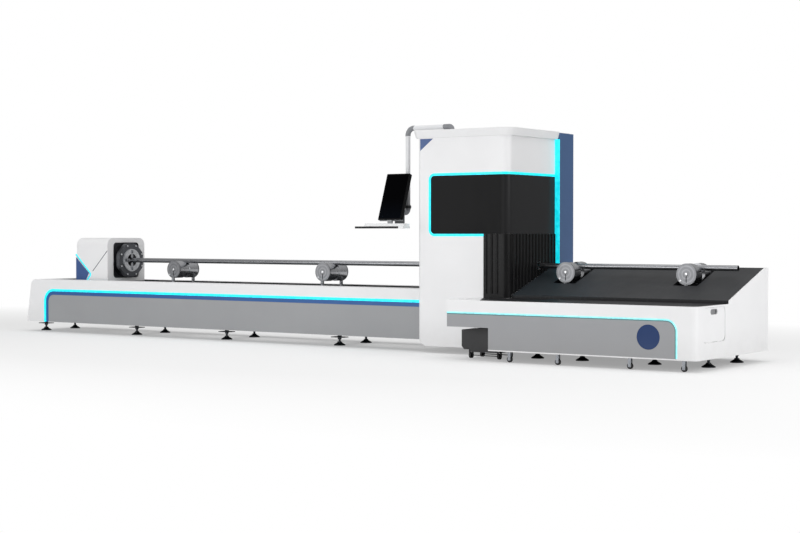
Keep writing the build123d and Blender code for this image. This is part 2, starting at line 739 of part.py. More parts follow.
# Cutting head: a saddle that runs along the beam and a head that lowers to the tube
with BuildPart() as head_saddle:
    saddle_x = head_x - 160 + 75
    slab(saddle_x + contact_gap, saddle_x + 24, tube_y - 90, tube_y + 90, cross_beam_z - 20, cross_beam_z + cross_beam_height)
    slab(saddle_x + 24, saddle_x + 34, tube_y - 12, tube_y + 12, cross_beam_z - 20, cross_beam_z + cross_beam_height)
finish(head_saddle, "head_saddle")

with BuildPart() as laser_head:
    nozzle_z = tube_z + tube_radius + head_rest_gap
    slide_x = head_x - 160 + 75 + 34 + contact_gap
    slab(slide_x, head_x - 30, tube_y - 60, tube_y + 60, cross_beam_z - 80, cross_beam_z + 150)
    with BuildSketch(side_plane(tube_y)):
        with BuildLine():
            Polyline(
                (head_x, nozzle_z),
                (head_x + 5, nozzle_z),
                (head_x + 16, nozzle_z + 30),
                (head_x + 28, nozzle_z + 34),
                (head_x + 28, nozzle_z + 150),
                (head_x + 38, nozzle_z + 165),
                (head_x + 38, cross_beam_z + 140),
                (head_x, cross_beam_z + 140),
                close=True,
            )
        make_face()
    revolve(axis=Axis((head_x, tube_y, 0), (0, 0, 1)))
finish(laser_head, "laser_head")


# Outfeed bed
def outfeed_plan(inset):
    """The outfeed casing's plan: left end, front, round corner and outfeed end, drawn in."""
    x0 = outfeed_left_x + inset
    x1 = outfeed_right_x - inset
    y0 = outfeed_front_y + inset
    y1 = outfeed_rear_y
    with BuildSketch(Plane.XY.offset(outfeed_bottom_z)) as plan:
        with BuildLine():
            Polyline((x0, y0), (x1, y0), (x1, y1), (x0, y1), close=True)
        make_face()
        fillet(vertices().group_by(Axis.Y)[0].sort_by(Axis.X)[-1], outfeed_corner - inset)
    return plan.sketch


def skirt_panel_outline(y, inset):
    """The outfeed skirt's inset panel at y, with the step above the scrap bin."""
    left = outfeed_left_x
    right = outfeed_right_x - skirt_panel_right - inset
    top = skirt_panel_top_z - inset
    low = outfeed_bottom_z + skirt_lip + inset
    notch = skirt_notch_z + inset
    with BuildSketch(side_plane(y)) as outline:
        with BuildLine():
            Polyline(
                (left, notch),
                (left, top),
                (right, top),
                (right, low),
                (left + skirt_notch + inset, low),
                (left + skirt_notch + inset, notch),
                close=True,
            )
        make_face()
        corner = vertices().group_by(Axis.Y)[-1].sort_by(Axis.X)[-1]
        fillet(corner, skirt_panel_radius - inset)
    return outline.sketch


with BuildPart() as outfeed_casing:
    height = slope_head_z - outfeed_bottom_z
    extrude(outfeed_plan(0), amount=height)
    extrude(outfeed_plan(sheet), amount=height, mode=Mode.SUBTRACT)
    with BuildSketch(end_plane(outfeed_left_x - 5)):
        with BuildLine():
            Polyline(
                (outfeed_front_y - 5, deck_z),
                (slope_foot_y, deck_z),
                (slope_foot_y, slope_foot_z),
                (slope_head_y, slope_head_z),
                (outfeed_rear_y + 5, slope_head_z),
                (outfeed_rear_y + 5, slope_head_z + 200),
                (outfeed_front_y - 5, slope_head_z + 200),
                close=True,
            )
        make_face()
    extrude(amount=outfeed_right_x - outfeed_left_x + 10, mode=Mode.SUBTRACT)
    slab(outfeed_left_x - 1, outfeed_left_x + sheet + 1, cabinet_front_y, outfeed_rear_y + 1, 0, slope_head_z, Mode.SUBTRACT)
    notch_x = outfeed_left_x + skirt_notch
    slab(outfeed_left_x - 1, notch_x, outfeed_front_y - 1, cabinet_front_y + 1, 0, skirt_notch_z, Mode.SUBTRACT)
    extrude(skirt_panel_outline(outfeed_front_y - 1, 0), amount=-(sheet + 2), mode=Mode.SUBTRACT)
    with BuildSketch(Plane.XY.offset(deck_z - sheet)):
        with BuildLine():
            Polyline(
                (outfeed_left_x, outfeed_front_y),
                (black_deck_left_x, outfeed_front_y),
                (guard_left_x, cabinet_front_y),
                (outfeed_left_x, cabinet_front_y),
                close=True,
            )
        make_face()
    extrude(amount=sheet)
    with BuildSketch(end_plane(outfeed_right_x - sheet - 1)):
        with Locations(((door_front_y + door_rear_y) / 2, (door_bottom_z + door_top_z) / 2)):
            Rectangle(door_rear_y - door_front_y, door_top_z - door_bottom_z)
        fillet(vertices(), door_radius)
    extrude(amount=sheet + 2, mode=Mode.SUBTRACT)
    for y, side in ((door_front_y, -1), (door_rear_y, 1)):
        lip_low = door_bottom_z + door_radius
        lip_high = door_top_z - door_radius
        outer = sorted((y, y + side * door_lip))
        inner = sorted((y - side * door_lip, y))
        slab(door_back_x - 3, door_face_x, *outer, lip_low, lip_high)
        slab(door_back_x - 3, door_back_x, *inner, lip_low, lip_high)
    for y in hinge_y:
        notch = knuckle_half + contact_gap
        slab(door_back_x - 1, outfeed_right_x + 1, y - notch, y + notch, hinge_z - 4, hinge_z, Mode.SUBTRACT)
        for start in (y - notch - knuckle_side, y + notch):
            with BuildSketch(side_plane(start)):
                with Locations((door_face_x, hinge_z)):
                    Circle(hinge_knuckle)
            extrude(amount=-knuckle_side)
        with BuildSketch(side_plane(y - notch)):
            with Locations((door_face_x, hinge_z)):
                Circle(hinge_pin)
        extrude(amount=-2 * notch)
    skirt_frame_x = outfeed_left_x + sheet
    slab(skirt_frame_x, notch_x, outfeed_front_y + sheet, outfeed_front_y + 2 * sheet, skirt_notch_z, skirt_notch_z + 12)
    slab(outfeed_left_x, outfeed_left_x + sheet, outfeed_front_y, outfeed_front_y + 2 * sheet, skirt_notch_z, deck_z)
finish(outfeed_casing, "outfeed_casing")

with BuildPart() as outfeed_grey_panel:
    extrude(skirt_panel_outline(outfeed_front_y + 1, contact_gap), amount=-(sheet - 1))
    slab(outfeed_left_x, outfeed_left_x + sheet, outfeed_front_y - 1, outfeed_front_y + 20, 0, slope_head_z, Mode.SUBTRACT)
finish(outfeed_grey_panel, "outfeed_grey_panel")

with BuildPart() as outfeed_rear_panel:
    slab(fin_right_x + panel_gap, outfeed_right_x - sheet, outfeed_rear_y - sheet, outfeed_rear_y, outfeed_bottom_z, slope_head_z - sheet)
finish(outfeed_rear_panel, "outfeed_rear_panel")

with BuildPart() as front_deck:
    with BuildSketch(Plane.XY.offset(deck_z - sheet)):
        with BuildLine():
            Polyline(
                (black_deck_left_x + 1, outfeed_front_y + sheet),
                (outfeed_right_x - sheet, outfeed_front_y + sheet),
                (outfeed_right_x - sheet, slope_foot_y - contact_gap),
                (cabinet_right_x + 1, slope_foot_y - contact_gap),
                (cabinet_right_x + 1, cabinet_front_y - contact_gap),
                (guard_left_x + 1, cabinet_front_y - contact_gap),
                close=True,
            )
        make_face()
        corner = vertices().group_by(Axis.Y)[0].sort_by(Axis.X)[-1]
        fillet(corner, outfeed_corner - sheet)
    extrude(amount=sheet)
finish(front_deck, "front_deck")

with BuildPart() as slope_deck:
    with BuildSketch(end_plane(cabinet_right_x + 1)):
        with BuildLine():
            Polyline(
                (slope_foot_y, deck_z - sheet),
                (slope_foot_y, slope_foot_z),
                (slope_head_y, slope_head_z),
                (outfeed_rear_y - sheet, slope_head_z),
                (outfeed_rear_y - sheet, slope_head_z - sheet),
                (slope_head_y + sheet * 0.2, slope_head_z - sheet),
                (slope_foot_y + sheet, slope_foot_z - sheet * 0.8),
                (slope_foot_y + sheet, deck_z - sheet),
                close=True,
            )
        make_face()
    extrude(amount=outfeed_right_x - sheet - cabinet_right_x - 1)
    front_y = tube_y - pocket_half_y
    rear_y = tube_y + pocket_half_y
    for x in drum_x[2:]:
        slab(x - pocket_half_x, x + pocket_half_x, front_y, rear_y, deck_z, slope_head_z + 5, Mode.SUBTRACT)
finish(slope_deck, "slope_deck")

with BuildPart() as outfeed_frame:
    z0 = outfeed_frame_z
    z1 = z0 + outfeed_tube
    half = outfeed_tube / 2
    long_left_x = cabinet_right_x + 30
    long_right_x = outfeed_right_x - outfeed_corner
    front_y = outfeed_front_y + sheet
    rear_y = outfeed_rear_y - sheet
    rows = (front_y + half, outfeed_foot_y[0], outfeed_foot_y[1])
    for y in rows:
        start = notch_x + 10 if y < cabinet_front_y else long_left_x
        slab(start, long_right_x, y - half, y + half, z0, z1)
    for x in (notch_x + 10 + half, (notch_x + long_right_x) / 2, long_right_x - half):
        slab(x - half, x + half, front_y, rear_y, z0, z1)
        for y in (front_y + half, rows[1], rear_y - half):
            top = deck_z - sheet if y < slope_foot_y + half else slope_head_z - sheet - 25
            slab(x - half, x + half, y - half, y + half, z1, top)
        slab(x - half, x + half, front_y, rows[1], deck_z - sheet - outfeed_tube, deck_z - sheet)
    slab(notch_x + 10, long_right_x, rear_y - outfeed_tube, rear_y, slope_head_z - sheet - 85, slope_head_z - sheet - 25)
    stop_rear_y = rows[1] - half
    slab(bin_right_x - 80, bin_right_x - 40, bin_rear_y + contact_gap, stop_rear_y, z0, z1)
    for side in (-1, 1):
        y = tube_y + side * (pocket_half_y + 32)
        slab(notch_x + 10, long_right_x, y - half, y + half, 300, 300 + outfeed_tube)
    for x in (notch_x + 10 + half, (notch_x + long_right_x) / 2, long_right_x - half):
        slab(x - half, x + half, rows[1], rear_y, 300, 300 + outfeed_tube)
finish(outfeed_frame, "outfeed_frame")

with BuildPart() as outfeed_levelling_feet:
    for foot_x in outfeed_foot_x:
        for foot_y in outfeed_foot_y:
            levelling_foot(foot_x, foot_y, outfeed_frame_z)
finish(outfeed_levelling_feet, "outfeed_levelling_feet")

with BuildPart() as end_door:
    with BuildSketch(end_plane(door_back_x)):
        with Locations(((door_front_y + door_rear_y) / 2, (door_bottom_z + door_top_z) / 2)):
            Rectangle(door_rear_y - door_front_y - 2 * door_gap, door_top_z - door_bottom_z - 2 * door_gap)
        fillet(vertices().group_by(Axis.Y)[-1], door_radius - door_gap)
        fillet(vertices().group_by(Axis.Y)[0], door_foot_radius)
    extrude(amount=sheet)
    with BuildSketch(end_plane(door_back_x - grip_depth)):
        with Locations((handle_y, handle_z)):
            SlotOverall(150, 56)
    extrude(amount=grip_depth)
    with BuildSketch(end_plane(door_face_x - grip_depth)):
        with Locations((handle_y, handle_z)):
            SlotOverall(130, 36)
    extrude(amount=grip_depth + 1, mode=Mode.SUBTRACT)
    for y in hinge_y:
        notch = knuckle_half + contact_gap + knuckle_side + contact_gap
        slab(door_back_x - 1, door_face_x + 1, y - notch, y + notch, hinge_z, hinge_z + 4, Mode.SUBTRACT)
        with BuildSketch(side_plane(y - knuckle_half)):
            with Locations((door_face_x, hinge_z)):
                Circle(hinge_knuckle)
        extrude(amount=-2 * knuckle_half)
        slab(door_back_x, door_face_x, y - knuckle_half, y + knuckle_half, hinge_z + 1, hinge_z + 5)
        with BuildSketch(side_plane(y - knuckle_half - 1)):
            with Locations((door_face_x, hinge_z)):
                Circle(hinge_pin + running_fit)
        extrude(amount=-2 * knuckle_half - 2, mode=Mode.SUBTRACT)
finish(end_door, "end_door")


# Drum supports: a V groove turned off centre, so that turning the drum sets the tube's height
def groove_turn(center_z):
    """The angle between straight up and the groove's offset that seats the tube in the V."""
    need = tube_z - groove_seat - center_z
    return acos((need - groove_mean) / groove_offset)


def drum_part(center_x, center_z):
    """The turned drum: a body with an eccentric V groove and an axle through it."""
    turn = groove_turn(center_z)
    off_x = center_x + groove_offset * sin(turn)
    off_z = center_z + groove_offset * cos(turn)
    half = drum_length / 2
    with BuildSketch(side_plane(tube_y - half)) as body:
        with Locations((center_x, center_z)):
            Circle(drum_radius)
    extrude(body.sketch, amount=-drum_length)
    reach = drum_radius + groove_offset + 20
    flare = (reach - groove_mean) * tan(radians(groove_half_angle))
    groove_plane = Plane(origin=(off_x, tube_y, off_z), x_dir=(0, 1, 0), z_dir=(1, 0, 0))
    with BuildSketch(groove_plane) as groove:
        with BuildLine():
            Polyline((0, groove_mean), (flare, reach), (-flare, reach), close=True)
        make_face()
    groove_axis = Axis((off_x, tube_y, off_z), (0, 1, 0))
    revolve(groove.sketch, axis=groove_axis, mode=Mode.SUBTRACT)
    axle = half + end_plate_gap + end_plate + 4
    for side in (-1, 1):
        start = tube_y + side * half
        with BuildSketch(side_plane(start)) as shaft:
            with Locations((center_x, center_z)):
                Circle(axle_diameter / 2)
        extrude(shaft.sketch, amount=-side * (axle - half))


def support_part(center_x, center_z, guide_low):
    """The pair of end plates that carry a drum, on two posts joined by a bar in the trough."""
    for side in (-1, 1):
        face_y = tube_y + side * plate_offset
        with BuildSketch(side_plane(face_y - end_plate / 2)) as plate:
            with Locations((center_x, center_z)):
                Circle(plate_radius)
                Circle(axle_diameter / 2 + running_fit, mode=Mode.SUBTRACT)
                for radius, start, sweep in plate_slots:
                    arc = CenterArc((0, 0), radius, start, sweep, mode=Mode.PRIVATE)
                    SlotArc(arc, 5, mode=Mode.SUBTRACT)
            with Locations((center_x, center_z - plate_radius * 0.47)):
                Rectangle(9, plate_radius * 0.6, mode=Mode.SUBTRACT)
        extrude(plate.sketch, amount=-end_plate)
        post_top = center_z - plate_radius * 0.93
        post_low = guide_low + 5
        post_y = tube_y + side * post_offset
        with Locations((center_x, post_y, (post_top + post_low) / 2)):
            Cylinder(post_diameter / 2, post_top - post_low)
    bar_low = guide_low + guide_height + lift_travel + guide_clearance
    reach = post_offset + post_diameter / 2
    half = post_diameter / 2
    slab(center_x - half, center_x + half, tube_y - reach, tube_y + reach, bar_low, bar_low + crossbar_height)


for index, center_x in enumerate(drum_x):
    with BuildPart() as drum:
        drum_part(center_x, drum_z[index])
    finish(drum, f"drum_{index + 1}")
    with BuildPart() as support:
        support_part(center_x, drum_z[index], guide_z[index])
    finish(support, f"support_{index + 1}")

lift_beam_reach = (rail_spread / 2 - beam_width / 2, pocket_half_y + 32 - outfeed_tube / 2)
with BuildPart() as lift_guides:
    for index, center_x in enumerate(drum_x):
        reach = lift_beam_reach[0] if center_x < cabinet_left_x else lift_beam_reach[1]
        low = guide_z[index]
        slab(center_x - 70, center_x + 70, tube_y - reach, tube_y + reach, low, low + 20)
        for side in (-1, 1):
            with Locations((center_x, tube_y + side * post_offset, low + guide_height / 2)):
                Cylinder(post_diameter / 2 + guide_wall, guide_height)
                Cylinder(post_diameter / 2 + post_fit, guide_height + 4, mode=Mode.SUBTRACT)
finish(lift_guides, "lift_guides")

# Casters under the outfeed skirt
with BuildPart() as caster_forks:
    axle_z = wheel_lift + wheel_diameter / 2
    top = outfeed_frame_z
    for x in caster_x:
        slab(x - 26, x + 26, caster_y - 24, caster_y + 24, top - 5, top)
        for side in (-1, 1):
            y = caster_y + side * (wheel_width / 2 + 3)
            slab(x - 14, x + 14, y - 1.5, y + 1.5, axle_z - 10, top - 5)
        with Locations(Location((x, caster_y, axle_z), (90, 0, 0))):
            Cylinder(caster_axle / 2, wheel_width + 12)
finish(caster_forks, "caster_forks")

for index, x in enumerate(caster_x):
    with BuildPart() as caster_wheel:
        with BuildSketch(side_plane(caster_y - wheel_width / 2)):
            with Locations((x, axle_z)):
                Circle(wheel_diameter / 2)
                Circle(caster_axle / 2 + running_fit, mode=Mode.SUBTRACT)
        extrude(amount=-wheel_width)
        rims = caster_wheel.edges().filter_by(GeomType.CIRCLE).sort_by(SortBy.RADIUS)[-2:]
        fillet(rims, 5)
    finish(caster_wheel, f"caster_wheel_{index + 1}")

# Scrap bin that rolls out under the short part of the skirt
with BuildPart() as scrap_bin:
    with BuildSketch(side_plane(bin_front_y)):
        with BuildLine():
            Polyline(
                (bin_left_x, 115),
                (bin_left_x + 25, 85),
                (bin_left_x + 90, 85),
                (bin_left_x + 90, 63),
                (bin_right_x, 63),
                (bin_right_x, bin_top_z),
                (bin_left_x + 150, bin_top_z),
                (bin_left_x, bin_top_z - 18),
                close=True,
            )
        make_face()
    extrude(amount=bin_front_y - bin_rear_y)
    slab(bin_left_x + sheet, bin_right_x - sheet, bin_front_y + sheet, bin_rear_y - sheet, 120, bin_top_z + 1, Mode.SUBTRACT)
    for x in bin_wheel_x:
        for y in bin_axle_y:
            slab(x - 22, x + 22, y - 34, y + 34, 20, 90, Mode.SUBTRACT)
    for y in bin_axle_y:
        for x in bin_wheel_x:
            for side in (-1, 1):
                ear_x = x + side * (wheel_width / 2 + 6)
                slab(ear_x - 2, ear_x + 2, y - 12, y + 12, wheel_diameter / 2 - 8, 100)
        with Locations(Location(((bin_left_x + bin_right_x) / 2, y, wheel_diameter / 2), (0, 90, 0))):
            Cylinder(caster_axle / 2 + running_fit, bin_right_x - bin_left_x, mode=Mode.SUBTRACT)
finish(scrap_bin, "scrap_bin")

for index, y in enumerate(bin_axle_y):
    with BuildPart() as bin_wheels:
        for x in bin_wheel_x:
            with BuildSketch(end_plane(x - wheel_width / 2)):
                with Locations((y, wheel_diameter / 2)):
                    Circle(wheel_diameter / 2)
            extrude(amount=wheel_width)
        with BuildSketch(end_plane(bin_wheel_x[0] - wheel_width)):
            with Locations((y, wheel_diameter / 2)):
                Circle(caster_axle / 2)
        extrude(amount=bin_wheel_x[1] - bin_wheel_x[0] + 2 * wheel_width)
    finish(bin_wheels, f"bin_wheels_{index + 1}")

# Operator's arm: one bent pipe that swings on the roof
with BuildPart() as arm_pipe:
    pipe_foot_z = roof_z + roof_boss + contact_gap
    with BuildLine() as arm_path:
        FilletPolyline(
            (arm_x, arm_y, pipe_foot_z),
            (arm_x, arm_y, arm_top_z),
            (arm_drop_x, arm_y, arm_top_z),
            (arm_drop_x, arm_y, arm_low_z),
            radius=[arm_top_z - pipe_foot_z - 2, pipe_bend],
        )
    with BuildSketch(Plane(origin=(arm_x, arm_y, pipe_foot_z), z_dir=(0, 0, 1))):
        Circle(pipe_diameter / 2)
    sweep()
finish(arm_pipe, "arm_pipe")

# The console below the arm: elbow, stem, shelf and the lug that the screen tilts on
lean = radians(screen_lean)
up_y = sin(lean)
up_z = cos(lean)
hub_y = screen_foot_y + 150
tilt_y = screen_foot_y + up_y * screen_height / 2 + up_z * tilt_depth
tilt_z = screen_foot_z + up_z * screen_height / 2 - up_y * tilt_depth
shelf_top_z = shelf_z + 20
with BuildPart() as console_bracket:
    with BuildLine():
        FilletPolyline(
            (arm_drop_x, arm_y, arm_low_z - 0.5),
            (arm_drop_x, arm_y, stub_z),
            (arm_drop_x, hub_y, stub_z),
            radius=45,
        )
    with BuildSketch(Plane(origin=(arm_drop_x, arm_y, arm_low_z - 0.5), z_dir=(0, 0, 1))):
        Circle(pipe_diameter / 2 + 3)
    sweep()
    slab(screen_x - 35, arm_drop_x + 30, hub_y - 8, hub_y, shelf_z, stub_z + 30)
    shelf_rear_y = screen_foot_y - 15
    slab(shelf_left_x, shelf_right_x, screen_foot_y - shelf_depth, shelf_rear_y, shelf_z, shelf_top_z)
    slab(screen_x - 35, arm_drop_x + 30, shelf_rear_y, hub_y, shelf_z, shelf_top_z)
    slab(screen_x - 12, screen_x + 12, tilt_y - 12, hub_y, stub_z, tilt_z + 12)
    with Locations(Location((screen_x, tilt_y, tilt_z), (0, 90, 0))):
        Cylinder(tilt_pin / 2, 64)
finish(console_bracket, "console_bracket")

with BuildPart() as keyboard:
    keys_rear_y = screen_foot_y - 27
    slab(shelf_right_x - keyboard_width, shelf_right_x, screen_foot_y - shelf_depth + 2, keys_rear_y, shelf_top_z, shelf_top_z + 25)
    chamfer(keyboard.faces().sort_by(Axis.Z)[-1].edges(), 4)
finish(keyboard, "keyboard")

# Screen: drawn in the plane of its face, which leans back from its lower front edge
screen_plane = Plane(
    origin=(screen_x, screen_foot_y, screen_foot_z),
    x_dir=(1, 0, 0),
    z_dir=(0, -up_z, up_y),
)
with BuildPart() as monitor:
    with BuildSketch(screen_plane):
        with Locations((0, screen_height / 2)):
            RectangleRounded(screen_width, screen_height, 8)
    extrude(amount=-screen_thickness)
    with BuildSketch(screen_plane.offset(-screen_thickness)):
        with Locations((0, screen_height / 2)):
            Rectangle(120, 120)
    extrude(amount=-6)
    with BuildSketch(screen_plane.offset(-screen_thickness)):
        with Locations((-25, screen_height / 2), (25, screen_height / 2)):
            Rectangle(10, 24)
    extrude(amount=-(tilt_depth - screen_thickness + 10))
    with Locations(Location((screen_x, tilt_y, tilt_z), (0, 90, 0))):
        Cylinder(tilt_pin / 2 + running_fit, 80, mode=Mode.SUBTRACT)
    slab(screen_x - 25, screen_x + 25, screen_foot_y + 3, screen_foot_y + 27, shelf_top_z + 27, screen_foot_z - 1)
finish(monitor, "monitor")
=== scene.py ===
import math

import bpy
import numpy as np
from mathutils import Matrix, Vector


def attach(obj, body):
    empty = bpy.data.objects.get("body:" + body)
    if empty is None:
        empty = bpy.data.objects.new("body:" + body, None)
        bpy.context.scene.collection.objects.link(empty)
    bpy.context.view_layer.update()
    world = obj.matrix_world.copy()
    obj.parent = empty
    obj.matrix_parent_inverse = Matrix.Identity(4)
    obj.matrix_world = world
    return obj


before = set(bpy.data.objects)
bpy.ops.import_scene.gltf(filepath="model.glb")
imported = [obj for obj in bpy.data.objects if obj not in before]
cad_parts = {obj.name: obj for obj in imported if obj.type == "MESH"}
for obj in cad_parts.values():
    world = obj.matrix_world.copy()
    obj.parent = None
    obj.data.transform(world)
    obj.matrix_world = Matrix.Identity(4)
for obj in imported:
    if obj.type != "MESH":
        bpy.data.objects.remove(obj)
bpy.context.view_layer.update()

# Finishes


def colour(red, green, blue):
    """Linear colour of an sRGB one given as 0 to 255: the usual power curve above its straight foot."""
    value = np.array([red, green, blue]) / 255
    linear = np.where(value <= 0.04045, value / 12.92, ((value + 0.055) / 1.055) ** 2.4)
    return (*linear.tolist(), 1.0)


def shaded(tint, share):
    """A tint made darker or brighter, with each channel held at full."""
    return tuple(min(channel * share, 1.0) for channel in tint[:3]) + (1.0,)


class Socket:
    """A node's output, so that shader maths reads as Python: each operator adds its Math node."""

    def __init__(self, finish, output):
        self.finish = finish
        self.output = output

    def __add__(self, other):
        return self.finish.maths("ADD", self, other)

    def __sub__(self, other):
        return self.finish.maths("SUBTRACT", self, other)

    def __rsub__(self, other):
        return self.finish.maths("SUBTRACT", other, self)

    def __mul__(self, other):
        return self.finish.maths("MULTIPLY", self, other)

    def __pow__(self, other):
        return self.finish.maths("POWER", self, other)

    def __gt__(self, other):
        return self.finish.maths("GREATER_THAN", self, other)

    def __lt__(self, other):
        return self.finish.maths("LESS_THAN", self, other)


class Finish:
    """One material, with short ways to add its nodes."""

    def __init__(self, name):
        self.material = bpy.data.materials.new(name)
        self.material.use_nodes = True
        self.tree = self.material.node_tree
        self.tree.nodes.clear()
        self.place = self.node("ShaderNodeTexCoord")["Object"]
        self.x, self.y, self.z = self.node("ShaderNodeSeparateXYZ", {}, {"Vector": self.place}).values()

    def node(self, kind, settings=None, inputs=None):
        """Add a node, apply its settings, then fill its sockets; give its outputs by name."""
        made = self.tree.nodes.new(kind)
        for name, value in (settings or {}).items():
            setattr(made, name, value)
        for name, value in (inputs or {}).items():
            if isinstance(value, Socket):
                self.tree.links.new(value.output, made.inputs[name])
            else:
                made.inputs[name].default_value = value
        return {output.name: Socket(self, output) for output in made.outputs if output.enabled}

    def maths(self, operation, first, second=0.0):
        settings = {"operation": operation}
        return self.node("ShaderNodeMath", settings, {0: first, 1: second})["Value"]

    def noise(self, scale, detail=3.0, stretch=(1, 1, 1), roughness=0.5):
        """Fractal noise on the piece's own place, drawn out along an axis by a small scale there."""
        place = self.node("ShaderNodeMapping", {}, {"Vector": self.place, "Scale": stretch})["Vector"]
        inputs = {"Vector": place, "Scale": scale, "Detail": detail, "Roughness": roughness}
        return self.node("ShaderNodeTexNoise", {}, inputs)["Fac"]

    def spread(self, value, low, high, start=0.0, end=1.0):
        """Carry a value from one span to another, held at its ends."""
        inputs = {"Value": value, "From Min": low, "From Max": high, "To Min": start, "To Max": end}
        return self.node("ShaderNodeMapRange", {}, inputs)["Result"]

    def mix(self, factor, first, second):
        """Blend two colours."""
        inputs = {0: factor, 6: first, 7: second}
        made = self.tree.nodes.new("ShaderNodeMix")
        made.data_type = "RGBA"
        for index, value in inputs.items():
            if isinstance(value, Socket):
                self.tree.links.new(value.output, made.inputs[index])
            else:
                made.inputs[index].default_value = value
        return Socket(self, made.outputs[2])

    def bump(self, height, strength, distance):
        inputs = {"Height": height, "Strength": strength, "Distance": distance}
        return self.node("ShaderNodeBump", {}, inputs)["Normal"]

    def close(self, **sockets):
        """Fill the surface shader; a socket's name is written with underscores."""
        inputs = {name.replace("_", " "): value for name, value in sockets.items()}
        shader = self.node("ShaderNodeBsdfPrincipled", {}, inputs)["BSDF"]
        self.node("ShaderNodeOutputMaterial", {}, {"Surface": shader})
        return self.material


def powder_coat(name, tint, roughness=0.38, worn=0.03, peel=0.12, low_tint=0.0):
    """Sprayed powder: orange peel in the bump, cloudy gloss, and patches tinted towards a warm grey near the
    floor.
    """
    coat = Finish(name)
    cloud = coat.noise(3.0, 4.0)
    grain = coat.noise(340.0, 2.0)
    # Patches near the floor, tinted towards a warm grey: darker on the white paint.
    low = coat.spread(coat.z, 0.0, 0.35, low_tint, 0.0) * coat.noise(9.0, 5.0)
    base = coat.mix(coat.spread(cloud, 0.35, 0.75, 0.0, worn * 6), tint, shaded(tint, 0.86))
    base = coat.mix(low, base, colour(150, 146, 138))
    gloss = coat.spread(cloud, 0.3, 0.7, roughness - 0.04, roughness + 0.06) + grain * 0.04
    return coat.close(
        Base_Color=base, Roughness=gloss, Normal=coat.bump(grain, peel, 0.0004), Specular_IOR_Level=0.5
    )


def lit_strip(name, tint, strength):
    """A diffuser lit from behind: a little brighter where its diodes sit."""
    strip = Finish(name)
    spots = strip.noise(26.0, 1.0)
    brighter = tuple(min(channel * 1.25 + 0.02, 1.0) for channel in tint)
    glow = strip.mix(strip.spread(spots, 0.35, 0.65), tint, brighter)
    return strip.close(Base_Color=glow, Roughness=0.35, Emission_Color=glow, Emission_Strength=strength)


def turned_metal(name, tint, roughness, axis, centre, pitch=900.0, highlight_ring_pitch=190.0):
    """Turned metal: rings about an axis, each the sine of the distance from it: fine ones in the gloss and
    bump, and wider ones painted into the colour as bright rings of painted highlight.
    """
    metal = Finish(name)
    first, second = {"x": (metal.y, metal.z), "y": (metal.x, metal.z), "z": (metal.x, metal.y)}[axis]
    away = ((first - centre[0]) ** 2.0 + (second - centre[1]) ** 2.0) ** 0.5
    rings = metal.maths("SINE", away * pitch)
    smear = metal.noise(24.0, 4.0)
    fine = metal.noise(420.0, 2.0)
    # Painted highlight: the wider rings brighten the colour, standing for arcs of light on the turned face.
    band = metal.maths("SINE", away * highlight_ring_pitch)
    shade = metal.mix(metal.spread(smear, 0.3, 0.8, 0.0, 0.5), tint, shaded(tint, 0.72))
    shade = metal.mix(metal.spread(band, 0.2, 0.9, 0.0, 0.45), shade, shaded(tint, 1.7))
    gloss = metal.spread(rings, -1.0, 1.0, roughness - 0.05, roughness + 0.05) + smear * 0.12
    return metal.close(
        Base_Color=shade,
        Metallic=1.0,
        Roughness=gloss,
        Normal=metal.bump(rings * 0.5 + fine * 0.4, 0.12, 0.0003),
    )


def drawn_metal(name, tint, roughness, stretch, oil=0.0):
    """Drawn or ground metal: streaks run along the axis whose stretch is small."""
    metal = Finish(name)
    streak = metal.noise(260.0, 3.0, stretch)
    cloud = metal.noise(7.0, 5.0)
    shade = metal.mix(metal.spread(streak, 0.35, 0.75, 0.0, 0.5), tint, shaded(tint, 0.6))
    shade = metal.mix(metal.spread(cloud, 0.5, 0.7, 0.0, oil), shade, colour(74, 66, 52))
    gloss = metal.spread(streak, 0.3, 0.7, roughness - 0.06, roughness + 0.1) + cloud * 0.08
    return metal.close(
        Base_Color=shade, Metallic=1.0, Roughness=gloss, Normal=metal.bump(streak, 0.15, 0.0003)
    )


def moulded(name, tint, roughness, grain_scale=500.0, bump=0.2):
    """Moulded plastic or rubber: a fine even texture and slow changes of gloss."""
    part = Finish(name)
    grain = part.noise(grain_scale, 2.0)
    cloud = part.noise(6.0, 3.0)
    base = part.mix(part.spread(cloud, 0.3, 0.8, 0.0, 0.3), tint, shaded(tint, 0.8))
    gloss = part.spread(cloud, 0.3, 0.7, roughness - 0.05, roughness + 0.08)
    return part.close(Base_Color=base, Roughness=gloss, Normal=part.bump(grain, bump, 0.0003))


def dark_glazing(name):
    """Dark laser-safe glazing: near black, glossy, with faint wiping marks; its side face is painted paler, as
    painted light.
    """
    pane = Finish(name)
    wipe = pane.noise(5.0, 6.0, (1, 1, 0.25))
    # Painted light: past x 2.2 the side face is painted paler than the front.
    side = pane.spread(pane.x, 2.2, 2.27)
    base = pane.mix(side, colour(18, 18, 19), colour(46, 46, 47))
    gloss = pane.spread(wipe, 0.35, 0.7, 0.12, 0.26)
    return pane.close(Base_Color=base, Roughness=gloss, Specular_IOR_Level=0.06)


